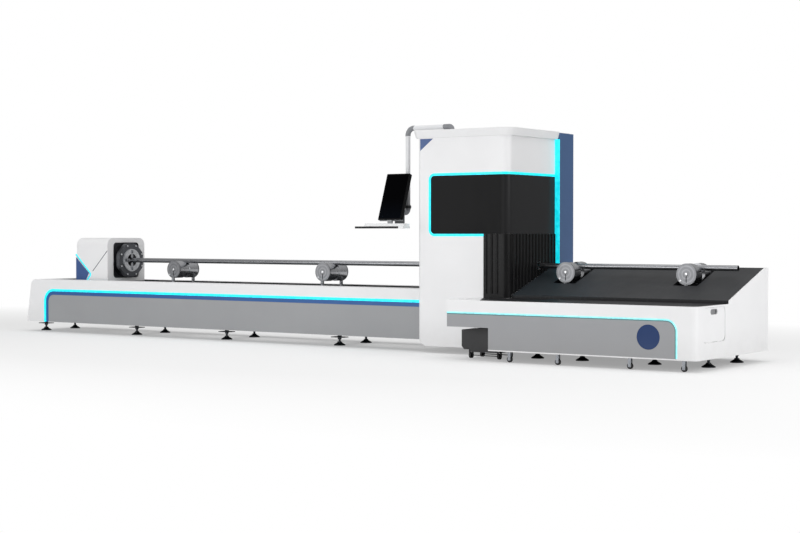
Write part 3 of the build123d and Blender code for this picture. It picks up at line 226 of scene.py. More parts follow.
def deck_sheet(name):
    """The black unloading deck: semi-gloss sheet, with a painted bluish reflection fading away from the
    cabinet, painted shade where it is flat, and long faint rub marks.
    """
    deck = Finish(name)
    rub = deck.noise(40.0, 4.0, (1.0, 0.05, 0.05))
    cloud = deck.noise(2.5, 4.0)
    # Painted reflection: a bluish sheen, strongest towards the cabinet and gone by x 3.4.
    near = deck.spread(deck.x, 2.3, 3.4, 1.0, 0.0)
    # Painted shade: the flat low part of the deck is painted darker.
    flat = deck.spread(deck.z, 0.556, 0.585, 1.0, 0.0)
    base = deck.mix(near * 0.45, colour(48, 49, 51), colour(42, 54, 61))
    base = deck.mix(flat, base, colour(26, 26, 28))
    base = deck.mix(deck.spread(rub, 0.55, 0.75, 0.0, 0.18), base, colour(74, 75, 78))
    gloss = deck.spread(cloud, 0.3, 0.7, 0.38, 0.5) + rub * 0.05
    relief = deck.bump(deck.noise(380.0, 2.0), 0.12, 0.0004)
    return deck.close(Base_Color=base, Roughness=gloss, Normal=relief, Specular_IOR_Level=0.22)


def feed_panel_coat(name):
    """Grey panel with its blue stripe: distance in from the rounded outline, by its corner circle."""
    coat = Finish(name)
    left, top, radius = -4.155, 0.505, 0.15
    stripe_width, edge_start, edge_end = 0.068, 0.0675, 0.0705
    over_x = coat.maths("MAXIMUM", (left + radius) - coat.x, 0.0)
    over_z = coat.maths("MAXIMUM", coat.z - (top - radius), 0.0)
    inward = radius - (over_x * over_x + over_z * over_z) ** 0.5
    stripe = inward < stripe_width
    edge = (inward > edge_start) * (inward < edge_end)
    grain = coat.noise(340.0, 2.0)
    cloud = coat.noise(2.0, 4.0)
    grey = coat.mix(coat.spread(cloud, 0.3, 0.8, 0.0, 0.5), colour(156, 157, 159), colour(146, 147, 150))
    base = coat.mix(stripe, grey, colour(38, 88, 152))
    base = coat.mix(edge * 0.5, base, colour(90, 100, 116))
    gloss = coat.spread(cloud, 0.3, 0.7, 0.36, 0.46)
    return coat.close(Base_Color=base, Roughness=gloss, Normal=coat.bump(grain, 0.12, 0.0004))


def frame_coat(name):
    """The welded frame: grey below, and black where the rail cover and the trough show."""
    coat = Finish(name)
    grain = coat.noise(300.0, 2.0)
    cloud = coat.noise(4.0, 4.0)
    black_from_z = 0.535
    grey = coat.mix(coat.spread(cloud, 0.3, 0.8), colour(96, 98, 101), colour(80, 82, 86))
    base = coat.mix(coat.z > black_from_z, grey, colour(12, 12, 13))
    gloss = coat.spread(cloud, 0.3, 0.7, 0.4, 0.55)
    return coat.close(Base_Color=base, Roughness=gloss, Normal=coat.bump(grain, 0.15, 0.0004))


def fluted_coat(name):
    """The guard's black ribs: glossy, and paler low down in cloudy patches."""
    coat = Finish(name)
    cloud = coat.noise(8.0, 4.0, (1, 1, 0.2))
    # Paler low down, in cloudy patches.
    low = coat.spread(coat.z, 0.55, 0.95, 0.3, 0.0)
    base = coat.mix(low * cloud, colour(13, 13, 14), colour(48, 48, 50))
    return coat.close(
        Base_Color=base,
        Roughness=coat.spread(cloud, 0.3, 0.7, 0.22, 0.36),
        Normal=coat.bump(coat.noise(300.0, 2.0), 0.1, 0.0003),
        Specular_IOR_Level=0.18,
    )


def screen_glass(name):
    """A dark display: black glass, faintly bluer towards its foot."""
    pane = Finish(name)
    low = pane.spread(pane.z, 1.3, 1.5, 0.7, 0.0)
    smear = pane.noise(10.0, 5.0)
    base = pane.mix(low, colour(2, 2, 3), colour(8, 12, 18))
    gloss = pane.spread(smear, 0.35, 0.7, 0.08, 0.2)
    return pane.close(Base_Color=base, Roughness=gloss, Specular_IOR_Level=0.02)


def monitor_case(name):
    """The screen's case: black plastic, with a bare metal tongue below its foot."""
    case = Finish(name)
    tongue_top_z = 1.2875
    grain = case.noise(500.0, 2.0)
    base = case.mix(case.z < tongue_top_z, colour(9, 9, 10), colour(168, 170, 172))
    gloss = case.spread(case.noise(6.0, 3.0), 0.3, 0.7, 0.42, 0.52)
    return case.close(
        Base_Color=base, Roughness=gloss, Normal=case.bump(grain, 0.15, 0.0003), Specular_IOR_Level=0.1
    )


def chuck_metal(name, tint, inner_tint):
    """A chuck's face: a blackened outer plate, and a paler ring with a painted highlight along its turned edge.
    """
    metal = Finish(name)
    ring_radius, edge_start, edge_end = 0.1305, 0.1225, 0.1312
    away = ((metal.y - TUBE_Y) ** 2.0 + (metal.z - TUBE_Z) ** 2.0) ** 0.5
    rings = metal.maths("SINE", away * 1400.0)
    smear = metal.noise(24.0, 4.0)
    edge = (away > edge_start) * (away < edge_end)
    shade = metal.mix(away < ring_radius, tint, inner_tint)
    shade = metal.mix(metal.spread(smear, 0.3, 0.8, 0.0, 0.3), shade, tint)
    # Painted highlight: a thin bright line along the ring's turned edge.
    shade = metal.mix(edge, shade, colour(206, 208, 211))
    gloss = metal.spread(rings, -1.0, 1.0, 0.32, 0.42) + smear * 0.12
    relief = metal.bump(rings * 0.5 + smear * 0.4, 0.12, 0.0003)
    return metal.close(Base_Color=shade, Metallic=0.9, Roughness=gloss, Normal=relief)


def bracket_coat(name):
    """The console's bracket: a black shelf below, and grey pipe above it."""
    coat = Finish(name)
    pipe_foot_z = 1.26
    cloud = coat.noise(5.0, 4.0)
    base = coat.mix(coat.z > pipe_foot_z, colour(18, 18, 19), colour(132, 134, 137))
    gloss = coat.spread(cloud, 0.3, 0.7, 0.4, 0.52)
    relief = coat.bump(coat.noise(340.0, 2.0), 0.12, 0.0004)
    return coat.close(Base_Color=base, Roughness=gloss, Normal=relief, Specular_IOR_Level=0.3)


def door_coat(name):
    """The end door: white, with painted shade in grey inside the pocket of its grip."""
    coat = Finish(name)
    shaded_pocket_x = 4.4425
    cloud = coat.noise(4.0, 4.0)
    # Painted shade: grey inside the grip's pocket, behind the door's face.
    base = coat.mix(coat.x < shaded_pocket_x, colour(237, 237, 238), colour(138, 139, 141))
    base = coat.mix(coat.spread(cloud, 0.45, 0.8, 0.0, 0.12), base, colour(205, 205, 206))
    gloss = coat.spread(cloud, 0.3, 0.7, 0.34, 0.44)
    return coat.close(Base_Color=base, Roughness=gloss, Normal=coat.bump(coat.noise(340.0, 2.0), 0.12, 0.0004))


def pipe_coat(name):
    """The operator's arm: white at the top, fading to grey towards the upright's foot."""
    coat = Finish(name)
    grey_below_z, white_above_z = 1.52, 1.70
    cloud = coat.noise(5.0, 4.0)
    low = coat.spread(coat.z, grey_below_z, white_above_z, 0.85, 0.0)
    base = coat.mix(low, colour(226, 227, 229), colour(132, 134, 137))
    gloss = coat.spread(cloud, 0.3, 0.7, 0.34, 0.44)
    return coat.close(Base_Color=base, Roughness=gloss, Normal=coat.bump(coat.noise(340.0, 2.0), 0.12, 0.0004))


# The tube's centre line, which the chucks turn about
TUBE_Y, TUBE_Z = 0.285, 0.845

white = powder_coat("white_powder_coat", colour(238, 238, 239), 0.36, low_tint=0.25)
grey = powder_coat("grey_powder_coat", colour(152, 153, 156), 0.4, low_tint=0.3)
navy = powder_coat("navy_powder_coat", colour(62, 92, 134), 0.34)
badge_navy = powder_coat("badge_navy", colour(4, 46, 98), 0.6, worn=0.01)
corner_blue = powder_coat("corner_blue", colour(56, 86, 140), 0.32)
black = powder_coat("black_powder_coat", colour(30, 30, 32), 0.4)
shadow_line = powder_coat("seam_black", colour(84, 86, 90), 0.6)
cyan = lit_strip("lit_cyan", colour(0, 206, 222), 0.72)
pale_cyan = lit_strip("lit_pale_cyan", colour(140, 222, 225), 0.35)
teal = powder_coat("teal_line", colour(66, 130, 132), 0.35)
window = dark_glazing("dark_glazing")
deck = deck_sheet("black_deck")
guard = fluted_coat("guard_black")
screen = screen_glass("screen_glass")
steel = drawn_metal("ground_rail", colour(190, 192, 195), 0.24, (0.02, 1, 1), 0.15)
tube_metal = drawn_metal("drawn_tube", colour(160, 161, 164), 0.2, (0.01, 1, 1))
plate_metal = drawn_metal("machined_plate", colour(150, 153, 158), 0.36, (1, 1, 0.1))
bright_metal = turned_metal("bright_fastener", colour(232, 233, 235), 0.22, "y", (0, 0), 3000.0)
foot_metal = turned_metal("turned_foot", colour(70, 72, 76), 0.42, "z", (0, 0), 1500.0)
chuck_dark = chuck_metal("chuck_steel", colour(96, 98, 102), colour(214, 216, 219))
jaw_metal = drawn_metal("jaw_steel", colour(176, 178, 182), 0.26, (1, 1, 0.05))
housing_dark = turned_metal("housing_steel", colour(84, 86, 90), 0.42, "x", (TUBE_Y, TUBE_Z), 900.0)
rubber = moulded("wheel_rubber", colour(26, 26, 27), 0.6, 380.0, 0.35)
elbow_grey = powder_coat("elbow_grey", colour(132, 134, 138), 0.42)
light_plastic = moulded("light_plastic", colour(236, 237, 238), 0.45)
key_plastic = moulded("key_plastic", colour(216, 218, 221), 0.5)
motor_black = moulded("motor_black", colour(22, 22, 24), 0.4, 200.0)
brass = moulded("nozzle_brass", colour(168, 128, 60), 0.3)

# Centre of each drum, as x and z
DRUMS = ((-2.390, 0.7503), (-0.250, 0.7503), (2.658, 0.7883), (3.892, 0.7883))
finishes = {
    "feed_front_casing": white, "feed_rear_casing": white, "headstock_shell": white,
    "cabinet_casing": white, "cabinet_rear_panel": white, "cabinet_roof": white,
    "outfeed_casing": white, "outfeed_rear_panel": white,
    "arm_pipe": pipe_coat("pipe_coat"), "end_door": door_coat("door_coat"),
    "feed_grey_panel": feed_panel_coat("striped_panel_coat"), "outfeed_grey_panel": grey,
    "feed_bed_frame": frame_coat("frame_coat"), "outfeed_frame": frame_coat("outfeed_frame_coat"),
    "cabinet_frame": grey, "feed_light_strip": cyan, "cabinet_light_strip": cyan,
    "window_glass": window, "fluted_guard": guard, "fin_post": navy,
    "front_deck": deck, "slope_deck": deck, "scrap_bin": black,
    "guide_rails": steel, "tube": tube_metal, "carriage_saddle": plate_metal,
    "carriage_motor": motor_black, "rear_chuck_disc": chuck_dark, "front_chuck_disc": chuck_dark,
    "rear_chuck_housing": housing_dark, "front_chuck_housing": housing_dark,
    "head_saddle": plate_metal, "laser_head": plate_metal, "lift_guides": plate_metal,
    "feed_levelling_feet": foot_metal, "outfeed_levelling_feet": foot_metal,
    "caster_forks": plate_metal, "console_bracket": bracket_coat("bracket_coat"),
    "keyboard": light_plastic, "monitor": monitor_case("monitor_case"),
}
for index, (drum_x, drum_z) in enumerate(DRUMS, 1):
    finishes[f"drum_{index}"] = turned_metal(
        f"drum_turning_{index}", colour(190, 191, 194), 0.24, "y", (drum_x, drum_z), 700.0
    )
    finishes[f"support_{index}"] = turned_metal(
        f"end_plate_{index}", colour(140, 141, 144), 0.36, "y", (drum_x, drum_z), 1100.0
    )
    finishes[f"caster_wheel_{index}"] = rubber
for index in (1, 2, 3, 4):
    finishes[f"rear_jaw_{index}"] = jaw_metal
for index in (1, 2):
    finishes[f"front_jaw_{index}"] = jaw_metal
    finishes[f"bin_wheels_{index}"] = rubber
for name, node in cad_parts.items():
    node.data.materials.clear()
    node.data.materials.append(finishes[name])

# Shapes


def grid_faces(rows, columns, round_rows, round_columns, start=0):
    """Quads between neighbouring rows and columns, wrapped where the grid closes on itself."""
    row = np.arange(rows if round_rows else rows - 1)[:, None]
    column = np.arange(columns if round_columns else columns - 1)[None, :]
    next_row = (row + 1) % rows
    next_column = (column + 1) % columns
    corners = [
        row * columns + column,
        next_row * columns + column,
        next_row * columns + next_column,
        row * columns + next_column,
    ]
    return np.stack(corners, -1).reshape(-1, 4) + start


def piece(name, body, finish, grids, smooth=True):
    """Make one mesh of surface grids (points, round_rows, round_columns) that rides on a body."""
    points, faces, start = [], [], 0
    for surface, round_rows, round_columns in grids:
        rows, columns = surface.shape[:2]
        points.append(surface.reshape(-1, 3))
        faces.append(grid_faces(rows, columns, round_rows, round_columns, start))
        start += rows * columns
    mesh = bpy.data.meshes.new(name)
    mesh.from_pydata(np.concatenate(points).tolist(), [], np.concatenate(faces).tolist())
    mesh.validate()
    mesh.update()
    made = bpy.data.objects.new(name, mesh)
    bpy.context.scene.collection.objects.link(made)
    mesh.polygons.foreach_set("use_smooth", np.full(len(mesh.polygons), smooth))
    made.data.materials.append(finish)
    weld = made.modifiers.new("weld", "WELD")
    weld.merge_threshold = 0.00002
    if smooth:
        mesh.set_sharp_from_angle(angle=math.radians(40))
    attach(made, body)


def turned(profile, centre, axis, steps=32):
    """A profile of (radius, height) turned about an axis: radius times cosine and sine, plus height."""
    profile = np.asarray(profile, float)
    angle = np.linspace(0, 2 * math.pi, steps, endpoint=False)
    along = np.asarray(axis, float) / np.linalg.norm(axis)
    side = np.cross(along, (0.0, 0.0, 1.0) if abs(along[2]) < 0.9 else (1.0, 0.0, 0.0))
    side /= np.linalg.norm(side)
    other = np.cross(along, side)
    ring = np.cos(angle)[:, None] * side + np.sin(angle)[:, None] * other
    surface = profile[:, 0, None, None] * ring[None] + profile[:, 1, None, None] * along
    return surface + np.asarray(centre, float), False, True


def rounded_plate(outline, axes, origin, thickness, soft):
    """A flat plate: its outline drawn in by a soft edge, in rings from the back to the middle of the face."""
    outline = np.asarray(outline, float)
    middle = outline.mean(0)
    away = outline - middle
    reach = np.linalg.norm(away, axis=1, keepdims=True)
    rings = [(0.0, -0.0005), (0.0, thickness - soft), (0.3, thickness - 0.3 * soft), (1.0, thickness)]
    rows = [(middle + away * (1 - soft * draw / reach), height) for draw, height in rings]
    rows.append((np.repeat(middle[None], len(outline), 0), thickness))
    across, up, out = (np.asarray(axis, float) for axis in axes)
    surface = [
        row[:, :1] * across + row[:, 1:] * up + height * out + np.asarray(origin, float) for row, height in rows
    ]
    return np.stack(surface), False, True


def swept(path, section, out):
    """Carry a closed section of (across, out) along a path; across is square to the path and to out."""
    path = np.asarray(path, float)
    out = np.asarray(out, float)
    run = np.gradient(path, axis=0)
    run /= np.linalg.norm(run, axis=1, keepdims=True)
    across = np.cross(out, run)
    section = np.asarray(section, float)
    surface = (
        path[:, None]
        + section[None, :, :1] * across[:, None]
        + section[None, :, 1:] * out[None, None]
    )
    return surface, False, True


def arc(centre, radius, start, end, steps):
    """Points on a circle in a plane of two coordinates, from one angle to another in degrees."""
    angle = np.radians(np.linspace(start, end, steps))
    return np.stack([centre[0] + radius * np.cos(angle), centre[1] + radius * np.sin(angle)], -1)


# Directions, and the axes (across, up, out) of a flat form on the front, on the end and lying level
UP, FRONT, BACK, LEFT, RIGHT = (0, 0, 1), (0, -1, 0), (0, 1, 0), (-1, 0, 0), (1, 0, 0)
ON_FRONT = (RIGHT, UP, FRONT)
ON_END = (BACK, UP, RIGHT)
LEVEL = (RIGHT, BACK, UP)
LOW_BOLT = [
    (0.0045, -0.001), (0.0045, 0.0022), (0.0038, 0.003), (0.0022, 0.003), (0.002, 0.0012), (0.0, 0.0012),
]


def bolts(name, body, centres, axis, size=1.0, steps=18):
    """Low cap screws with a socket, one turned profile at each centre."""
    profile = np.asarray(LOW_BOLT) * size
    screws = [turned(profile, centre, axis, steps) for centre in centres]
    piece(name, body, bright_metal, screws)


# Outfeed skirt: the thin lit line round the grey panel, with its darker inner edge
skirt_left, skirt_right, skirt_top, skirt_low, skirt_round = 1.980, 4.267, 0.435, 0.110, 0.100
skirt_y, teal_inset = -0.8745, 0.011
line_path = np.concatenate([
    np.stack([np.linspace(skirt_left, skirt_right - skirt_round, 60), np.full(60, skirt_top)], -1),
    arc((skirt_right - skirt_round, skirt_top - skirt_round), skirt_round, 88, 2, 20),
    np.stack([np.full(20, skirt_right), np.linspace(skirt_top - skirt_round, skirt_low, 20)], -1),
])
lit_path = np.stack([line_path[:, 0], np.full(len(line_path), skirt_y), line_path[:, 1]], -1)
bead = [
    (-0.007, -0.001), (-0.007, 0.0008), (-0.005, 0.0018), (0.005, 0.0018), (0.007, 0.0008), (0.007, -0.001),
]
piece("skirt_lit_line", "machine", pale_cyan, [swept(lit_path, bead, FRONT)])
teal_path = lit_path.copy()
run = np.gradient(line_path, axis=0)
run /= np.linalg.norm(run, axis=1, keepdims=True)
inward = np.stack([run[:, 1], -run[:, 0]], -1) * teal_inset
teal_path[:, 0] += inward[:, 0]
teal_path[:, 2] += inward[:, 1]
thin = [(-0.004, -0.001), (-0.004, 0.0006), (0.004, 0.0006), (0.004, -0.001)]
piece("skirt_teal_line", "machine", teal, [swept(teal_path, thin, FRONT)])

# A bare domed badge on the outfeed skirt
badge = [
    (0.106, -0.001), (0.106, 0.0015), (0.1035, 0.003), (0.1, 0.0032),
    (0.098, 0.0026), (0.05, 0.0034), (0, 0.0038),
]
badge_centre = (4.007, -0.8738, 0.283)
piece("badge_disc", "machine", badge_navy, [turned(badge, badge_centre, FRONT, 72)])

# Blue corner plates on the cabinet and on the headstock, and the headstock's lit strip and seam


def dense(corners, per_side=10):
    """A polygon's outline with extra points along each side."""
    corners = np.asarray(corners, float)
    following = np.roll(corners, -1, 0)
    share = np.linspace(0, 1, per_side, endpoint=False)[None, :, None]
    return (corners[:, None] * (1 - share) + following[:, None] * share).reshape(-1, 2)


cabinet_front_y, stock_front_y = -0.2990, -0.0150
cabinet_corner = dense([(1.287, 2.071), (1.287, 1.957), (1.436, 2.071)])
piece("cabinet_corner_plate", "machine", corner_blue,
      [rounded_plate(cabinet_corner, ON_FRONT, (0, cabinet_front_y, 0), 0.0012, 0.001)], smooth=False)
stock_corner = dense([(-3.822, 0.880), (-3.822, 0.608), (-3.660, 0.608), (-3.607, 0.694)])
piece("headstock_corner_plate", "carriage", corner_blue,
      [rounded_plate(stock_corner, ON_FRONT, (0, stock_front_y, 0), 0.0015, 0.001)], smooth=False)
strip_corners = np.array([
    (-3.823, 0.915), (-3.700, 0.802), (-3.585, 0.697), (-3.577, 0.681), (-3.584, 0.664), (-3.640, 0.606),
])
strip_points, strip_y, seam_y = 60, -0.0148, -0.0149
spacing = np.linspace(0, len(strip_corners) - 1, strip_points)
strip_x, strip_z = (np.interp(spacing, np.arange(len(strip_corners)), strip_corners[:, k]) for k in (0, 1))
strip_path = np.stack([strip_x, np.full(strip_points, strip_y), strip_z], -1)
wide = [
    (-0.009, -0.001), (-0.009, 0.001), (-0.006, 0.0022), (0.003, 0.0022), (0.006, 0.001), (0.006, -0.001),
]
piece("headstock_lit_strip", "carriage", cyan, [swept(strip_path, wide, FRONT)])
rim = [(-0.015, -0.001), (-0.015, 0.0008), (-0.0105, 0.0008), (-0.0105, -0.001)]
piece("headstock_teal_line", "carriage", teal, [swept(strip_path, rim, FRONT)])
seam_path = np.linspace((-3.303, seam_y, 0.957), (-3.545, seam_y, 0.718), 24)
hair = [(-0.0045, -0.001), (-0.0045, 0.0004), (0.0045, 0.0004), (0.0045, -0.001)]
piece("headstock_seam", "carriage", shadow_line, [swept(seam_path, hair, FRONT)])

# Chuck screws: on both face plates, and on the rear chuck's guide ring between its jaws
face_angles = np.arange(8) * 45 + 22.5
ring_angles = (22.5, 45, 67.5, 112.5, 135, 157.5, 202.5, 225, 247.5, 292.5, 315, 337.5)
face_circle, ring_circle = 0.178, 0.112
rear_face_x, rear_ring_x, front_face_x = -3.215 + 0.006, -3.215 + 0.012, 1.792 + 0.006


def round_the_tube(x, radius, degrees):
    """Points on a circle about the tube's centre line."""
    return [(x, TUBE_Y + radius * math.cos(a), TUBE_Z + radius * math.sin(a)) for a in np.radians(degrees)]


bolts("chuck_screws", "rear_chuck", round_the_tube(rear_face_x, face_circle, face_angles), RIGHT, 2.2, 24)
bolts("chuck_ring_screws", "rear_chuck", round_the_tube(rear_ring_x, ring_circle, ring_angles), RIGHT, 1.3)
bolts("front_chuck_screws", "front_chuck", round_the_tube(front_face_x, face_circle, face_angles), RIGHT, 2.2)

# Drum supports: a screw on each outer end plate, and a cap on each axle's end
plate_y = TUBE_Y - 0.160
cap_y = 0.121
screw_offset = 0.058
cap = [(0.0145, -0.0005), (0.0145, 0.002), (0.012, 0.0035), (0.006, 0.0035), (0.0055, 0.001), (0.0, 0.001)]
for index, (drum_x, drum_z) in enumerate(DRUMS, 1):
    spots = [(drum_x - screw_offset, plate_y, drum_z - screw_offset)]
    bolts(f"end_plate_screws_{index}", f"support_{index}", spots, FRONT, 2.2, 24)
    piece(f"axle_cap_{index}", f"drum_{index}", bright_metal,
          [turned(cap, (drum_x, cap_y, drum_z), FRONT)])

# Rail screws along both rails of the feed bed
rail_spots = [(x, y, 0.565) for x in np.arange(-4.13, 1.20, 0.12) for y in (0.035, 0.535)]
bolts("rail_screws", "machine", rail_spots, UP, 1.1, 10)

# Sheet fasteners on the cabinet's rear and left side, and screws on the carriage's saddle
rear_spots = [(1.33 + 0.2 * step, 0.8748, 2.0) for step in range(5)]
bolts("cabinet_rear_screws", "machine", rear_spots, BACK)
side_spots = [(1.255, y, z) for y in (-0.22, 0.80) for z in (0.18, 0.6, 1.2, 1.9)]
bolts("cabinet_side_screws", "machine", side_spots, LEFT, 1.1)
saddle_spots = [(x, y, 0.600) for x in (-3.865, -3.845) for y in (0.0, 0.15, 0.42, 0.57)]
bolts("saddle_screws", "carriage", saddle_spots, UP, 1.4)

# Levelling feet: the hexagon nut above each foot's disc
nut = [(0.0, 0.0), (0.0205, 0.0), (0.0225, 0.002), (0.0225, 0.012), (0.0205, 0.014), (0.0121, 0.014)]
nut_z, nut_sides = 0.0905, 6
foot_rows = {
    "feed_foot_nuts": ((-4.350, -2.840, -1.475, 0.075), (-0.005, 0.455)),
    "outfeed_foot_nuts": ((2.590, 3.058, 3.779, 4.288), (-0.276, 0.337)),
}
for name, (foot_x, foot_y) in foot_rows.items():
    nuts = [turned(nut, (x, y, nut_z), UP, nut_sides) for x in foot_x for y in foot_y]
    piece(name, "machine", foot_metal, nuts, smooth=False)

# Arm: grey sleeves on its two bends and its top run, and the collar where the console turns on it


def bent_sleeve(centre, bend, radius, start, end, steps=20, around=28):
    """A sleeve round a bend in an upright plane: part of a torus, with its ends drawn in.

    With the bend's radius R and the sleeve's radius r, a point lies at (R + r cos b)(cos a, sin a)
    from the bend's centre in x and z, and at r sin b in y.
    """
    turn = np.radians(np.linspace(start, end, steps))
    turn = np.concatenate([turn[:1], turn, turn[-1:]])[:, None]
    tube = np.full((steps + 2, 1), radius)
    tube[[0, -1]] -= 0.003
    circle = np.linspace(0, 2 * math.pi, around, endpoint=False)[None, :]
    out = bend + tube * np.cos(circle)
    sideways = tube * np.sin(circle) + 0 * turn
    surface = [centre[0] + out * np.cos(turn), centre[1] + sideways, centre[2] + out * np.sin(turn)]
    return np.stack(surface, -1), False, True


arm_y, sleeve_radius = -0.125, 0.0255
straight = [
    (0.0225, -0.030), (0.0255, -0.030), (0.0258, -0.027), (0.0258, 0.027), (0.0255, 0.030), (0.0225, 0.030),
]
sleeves = [
    bent_sleeve((1.5113, arm_y, 2.1663), 0.0287, sleeve_radius, 4, 90),
    bent_sleeve((1.091, arm_y, 2.125), 0.070, sleeve_radius, 84, 186),
    turned(straight, (1.480, arm_y, 2.195), RIGHT),
]
piece("arm_sleeves", "arm", elbow_grey, sleeves)
collar = [
    (0.0265, -0.014), (0.0305, -0.014), (0.032, -0.012), (0.032, 0.012), (0.0305, 0.014), (0.0265, 0.014),
]
piece("console_collar", "console", black, [turned(collar, (1.021, arm_y, 1.418), UP)])

# Screen: glass inside a raised bezel, in the plane of the screen's leaning face
lean = math.radians(19.4)
screen_axes = ((1, 0, 0), (0, math.sin(lean), math.cos(lean)), (0, -math.cos(lean), math.sin(lean)))
screen_foot = np.array((0.971, -0.375, 1.288))


def rounded_box(x0, x1, z0, z1, radius, per_corner=6):
    """Outline of a rectangle with round corners, anticlockwise: four quarter circles joined."""
    left, right, low, high = x0 + radius, x1 - radius, z0 + radius, z1 - radius
    corners = (((right, high), 0), ((left, high), 90), ((left, low), 180), ((right, low), 270))
    return np.concatenate([arc(centre, radius, turn, turn + 90, per_corner) for centre, turn in corners])


def band(outer, inner, axes, origin, proud):
    """A flat raised band between two outlines: up the outer edge, over, and down the inner edge."""
    across, up, out = (np.asarray(axis, float) for axis in axes)
    near_outer, near_inner = outer * 0.9 + inner * 0.1, outer * 0.1 + inner * 0.9
    sunk, shoulder = -0.0005, proud * 0.7
    rows = [
        (outer, sunk), (outer, shoulder), (near_outer, proud),
        (near_inner, proud), (inner, shoulder), (inner, sunk),
    ]
    surface = [
        row[:, :1] * across + row[:, 1:] * up + height * out + np.asarray(origin, float) for row, height in rows
    ]
    return np.stack(surface), False, True


glass_edge = rounded_box(-0.128, 0.128, 0.014, 0.474, 0.004)
case_edge = rounded_box(-0.1365, 0.1365, 0.002, 0.483, 0.008)
piece("screen_glass", "monitor", screen,
      [rounded_plate(glass_edge, screen_axes, screen_foot, 0.001, 0.0008)], smooth=False)
piece("screen_bezel", "monitor", finishes["monitor"],
      [band(case_edge, glass_edge, screen_axes, screen_foot, 0.0025)])

# Shelf: the pale block on its outer end
block = rounded_box(1.160, 1.2256, -0.4957, -0.392, 0.004)
piece("shelf_end_block", "console", light_plastic,
      [rounded_plate(block, LEVEL, (0, 0, 1.2046), 0.0458, 0.002)], smooth=False)

# Keyboard: rows of keys, each a small crowned cap, and the space bar in the front row's gap
first_x, first_y, key_foot_z = 0.762, -0.482, 1.2500
pitch_x, pitch_y = 0.0206, 0.0165
key_rows, key_columns = 5, 22
bar_columns = range(5, 12)
key_outline = rounded_box(-0.0085, 0.0085, -0.0066, 0.0066, 0.002, 3)
bar_outline = rounded_box(-0.070, 0.070, -0.0066, 0.0066, 0.002, 3)
caps = [
    (key_outline, first_x + column * pitch_x, first_y + row * pitch_y)
    for row in range(key_rows)
    for column in range(key_columns)
    if row > 0 or column not in bar_columns
]
caps.append((bar_outline, 0.927, first_y))
keys = [rounded_plate(outline, LEVEL, (x, y, key_foot_z), 0.0035, 0.0016) for outline, x, y in caps]
piece("keys", "console", key_plastic, keys)

# End door: the rim of its recessed grip
grip_inner = rounded_box(-0.592, -0.462, 0.477, 0.513, 0.0175, 8)
grip_outer = rounded_box(-0.597, -0.457, 0.472, 0.518, 0.0225, 8)
piece("grip_rim", "end_door", grey, [band(grip_outer, grip_inner, ON_END, (4.446, 0, 0), 0.002)])

# Outfeed slope: dark sheet walls round the two pockets that the drums drop into
slope_foot_y, slope_foot_z, slope_rise = -0.223, 0.578, 0.3393
wall_foot_z, wall_thickness, below_face = 0.48, 0.003, 0.002
pocket_half_x, pocket_half_y = 0.1185, 0.1885


def pocket_wall(centre_x):
    """A thin closed wall round one pocket, whose top edge follows the slope just under its face."""
    rows = []
    for grow, at_top in ((0, False), (0, True), (wall_thickness, True), (wall_thickness, False)):
        ring = []
        for side_x, side_y in ((-1, -1), (1, -1), (1, 1), (-1, 1)):
            x = centre_x + side_x * (pocket_half_x + grow)
            y = TUBE_Y + side_y * (pocket_half_y + grow)
            slope_face = slope_foot_z + slope_rise * (y - slope_foot_y)
            ring.append((x, y, slope_face - below_face if at_top else wall_foot_z))
        rows.append(ring)
    return np.array(rows, float), True, True


liners = [pocket_wall(drum_x) for drum_x, drum_z in DRUMS[2:]]
piece("pocket_liners", "machine", deck, liners, smooth=False)

# Cutting head: the nozzle's tip
nozzle = [(0.0012, 0.0), (0.0035, 0.0), (0.0075, 0.012), (0.0075, 0.018)]
piece("nozzle", "laser_head", brass, [turned(nozzle, (2.040, TUBE_Y, 0.9095), UP)])

# Studio: pale floor that turns into the white background away from the machine


def studio_floor():
    """Floor shader: soft shadow near the machine, plain white where only the camera looks far off."""
    floor = Finish("studio_floor")
    away = ((floor.x * 0.16) ** 2.0 + (floor.y * 0.3) ** 2.0) ** 0.5
    far = floor.spread(away, 0.9, 1.9)
    diffuse = floor.node("ShaderNodeBsdfDiffuse", {}, {"Color": (0.9, 0.9, 0.9, 1.0)})["BSDF"]
    glow = floor.node("ShaderNodeEmission", {}, {"Color": (1.0, 1.0, 1.0, 1.0), "Strength": 1.0})["Emission"]
    keep = floor.spread(far, 0.0, 1.0, 0.32, 1.0)
    seen = floor.node("ShaderNodeLightPath")["Is Camera Ray"]
    shader = floor.node("ShaderNodeMixShader", {}, {0: keep * seen, 1: diffuse, 2: glow})["Shader"]
    floor.node("ShaderNodeOutputMaterial", {}, {"Surface": shader})
    return floor.material


half = 60
floor_corners = [(-half, -half, 0), (half, -half, 0), (half, half, 0), (-half, half, 0)]
floor_mesh = bpy.data.meshes.new("floor")
floor_mesh.from_pydata(floor_corners, [], [(0, 1, 2, 3)])
floor_object = bpy.data.objects.new("floor", floor_mesh)
bpy.context.scene.collection.objects.link(floor_object)
floor_mesh.materials.append(studio_floor())

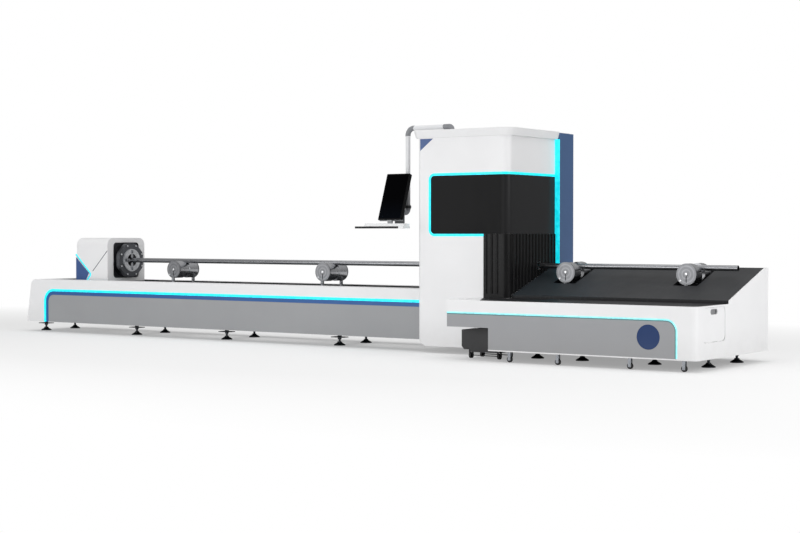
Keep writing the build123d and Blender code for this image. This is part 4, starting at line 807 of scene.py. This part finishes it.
# World: plain white to the camera, and a grey sky, paler overhead, to everything else
world = bpy.data.worlds.new("studio")
bpy.context.scene.world = world
world.use_nodes = True
sky = world.node_tree
sky.nodes.clear()
path = sky.nodes.new("ShaderNodeLightPath")
direction = sky.nodes.new("ShaderNodeTexCoord")
parts = sky.nodes.new("ShaderNodeSeparateXYZ")
fade = sky.nodes.new("ShaderNodeMapRange")
for name, value in {"From Min": -0.15, "From Max": 0.75, "To Min": 0.18, "To Max": 0.60}.items():
    fade.inputs[name].default_value = value
lighting = sky.nodes.new("ShaderNodeBackground")
lighting.inputs["Color"].default_value = (1, 1, 1, 1)
shown = sky.nodes.new("ShaderNodeBackground")
shown.inputs["Color"].default_value = (1, 1, 1, 1)
shown.inputs["Strength"].default_value = 1.0
choice = sky.nodes.new("ShaderNodeMixShader")
result = sky.nodes.new("ShaderNodeOutputWorld")
sky.links.new(direction.outputs["Generated"], parts.inputs[0])
sky.links.new(parts.outputs["Z"], fade.inputs["Value"])
sky.links.new(fade.outputs["Result"], lighting.inputs["Strength"])
sky.links.new(path.outputs["Is Camera Ray"], choice.inputs[0])
sky.links.new(lighting.outputs[0], choice.inputs[1])
sky.links.new(shown.outputs[0], choice.inputs[2])
sky.links.new(choice.outputs[0], result.inputs[0])


def softbox(name, place, target, width, height, power):
    """A large soft lamp that looks at a point."""
    lamp = bpy.data.lights.new(name, "AREA")
    lamp.shape = "RECTANGLE"
    lamp.size = width
    lamp.size_y = height
    lamp.energy = power
    made = bpy.data.objects.new(name, lamp)
    bpy.context.scene.collection.objects.link(made)
    made.location = place
    made.rotation_mode = "QUATERNION"
    made.rotation_quaternion = (Vector(target) - Vector(place)).to_track_quat("-Z", "Y")


softbox("overhead", (0.5, 0.0, 7.0), (0.5, 0.2, 0.5), 12.0, 5.0, 170)
softbox("operator_side", (-1.0, -9.0, 2.2), (0.0, 0.0, 0.4), 13.0, 3.2, 350)
softbox("outfeed_end", (10.5, -1.0, 3.5), (3.0, 0.0, 0.8), 5.0, 4.0, 230)

# Camera at the photograph's place: yaw, pitch and focal length solved from its straight edges
camera_data = bpy.data.cameras.new("camera")
camera = bpy.data.objects.new("camera", camera_data)
bpy.context.scene.collection.objects.link(camera)
yaw, pitch = math.radians(35.2), math.radians(-1.202)
camera_height = 1.15
camera.location = (9.7916, -12.6963, camera_height)
looking = Vector((-math.sin(yaw) * math.cos(pitch), math.cos(yaw) * math.cos(pitch), math.sin(pitch)))
camera.rotation_mode = "QUATERNION"
camera.rotation_quaternion = looking.to_track_quat("-Z", "Y")
camera_data.sensor_width = 36.0
camera_data.lens = 69.58
camera_data.clip_end = 200.0
bpy.context.scene.camera = camera
bpy.context.scene.view_settings.view_transform = "Standard"
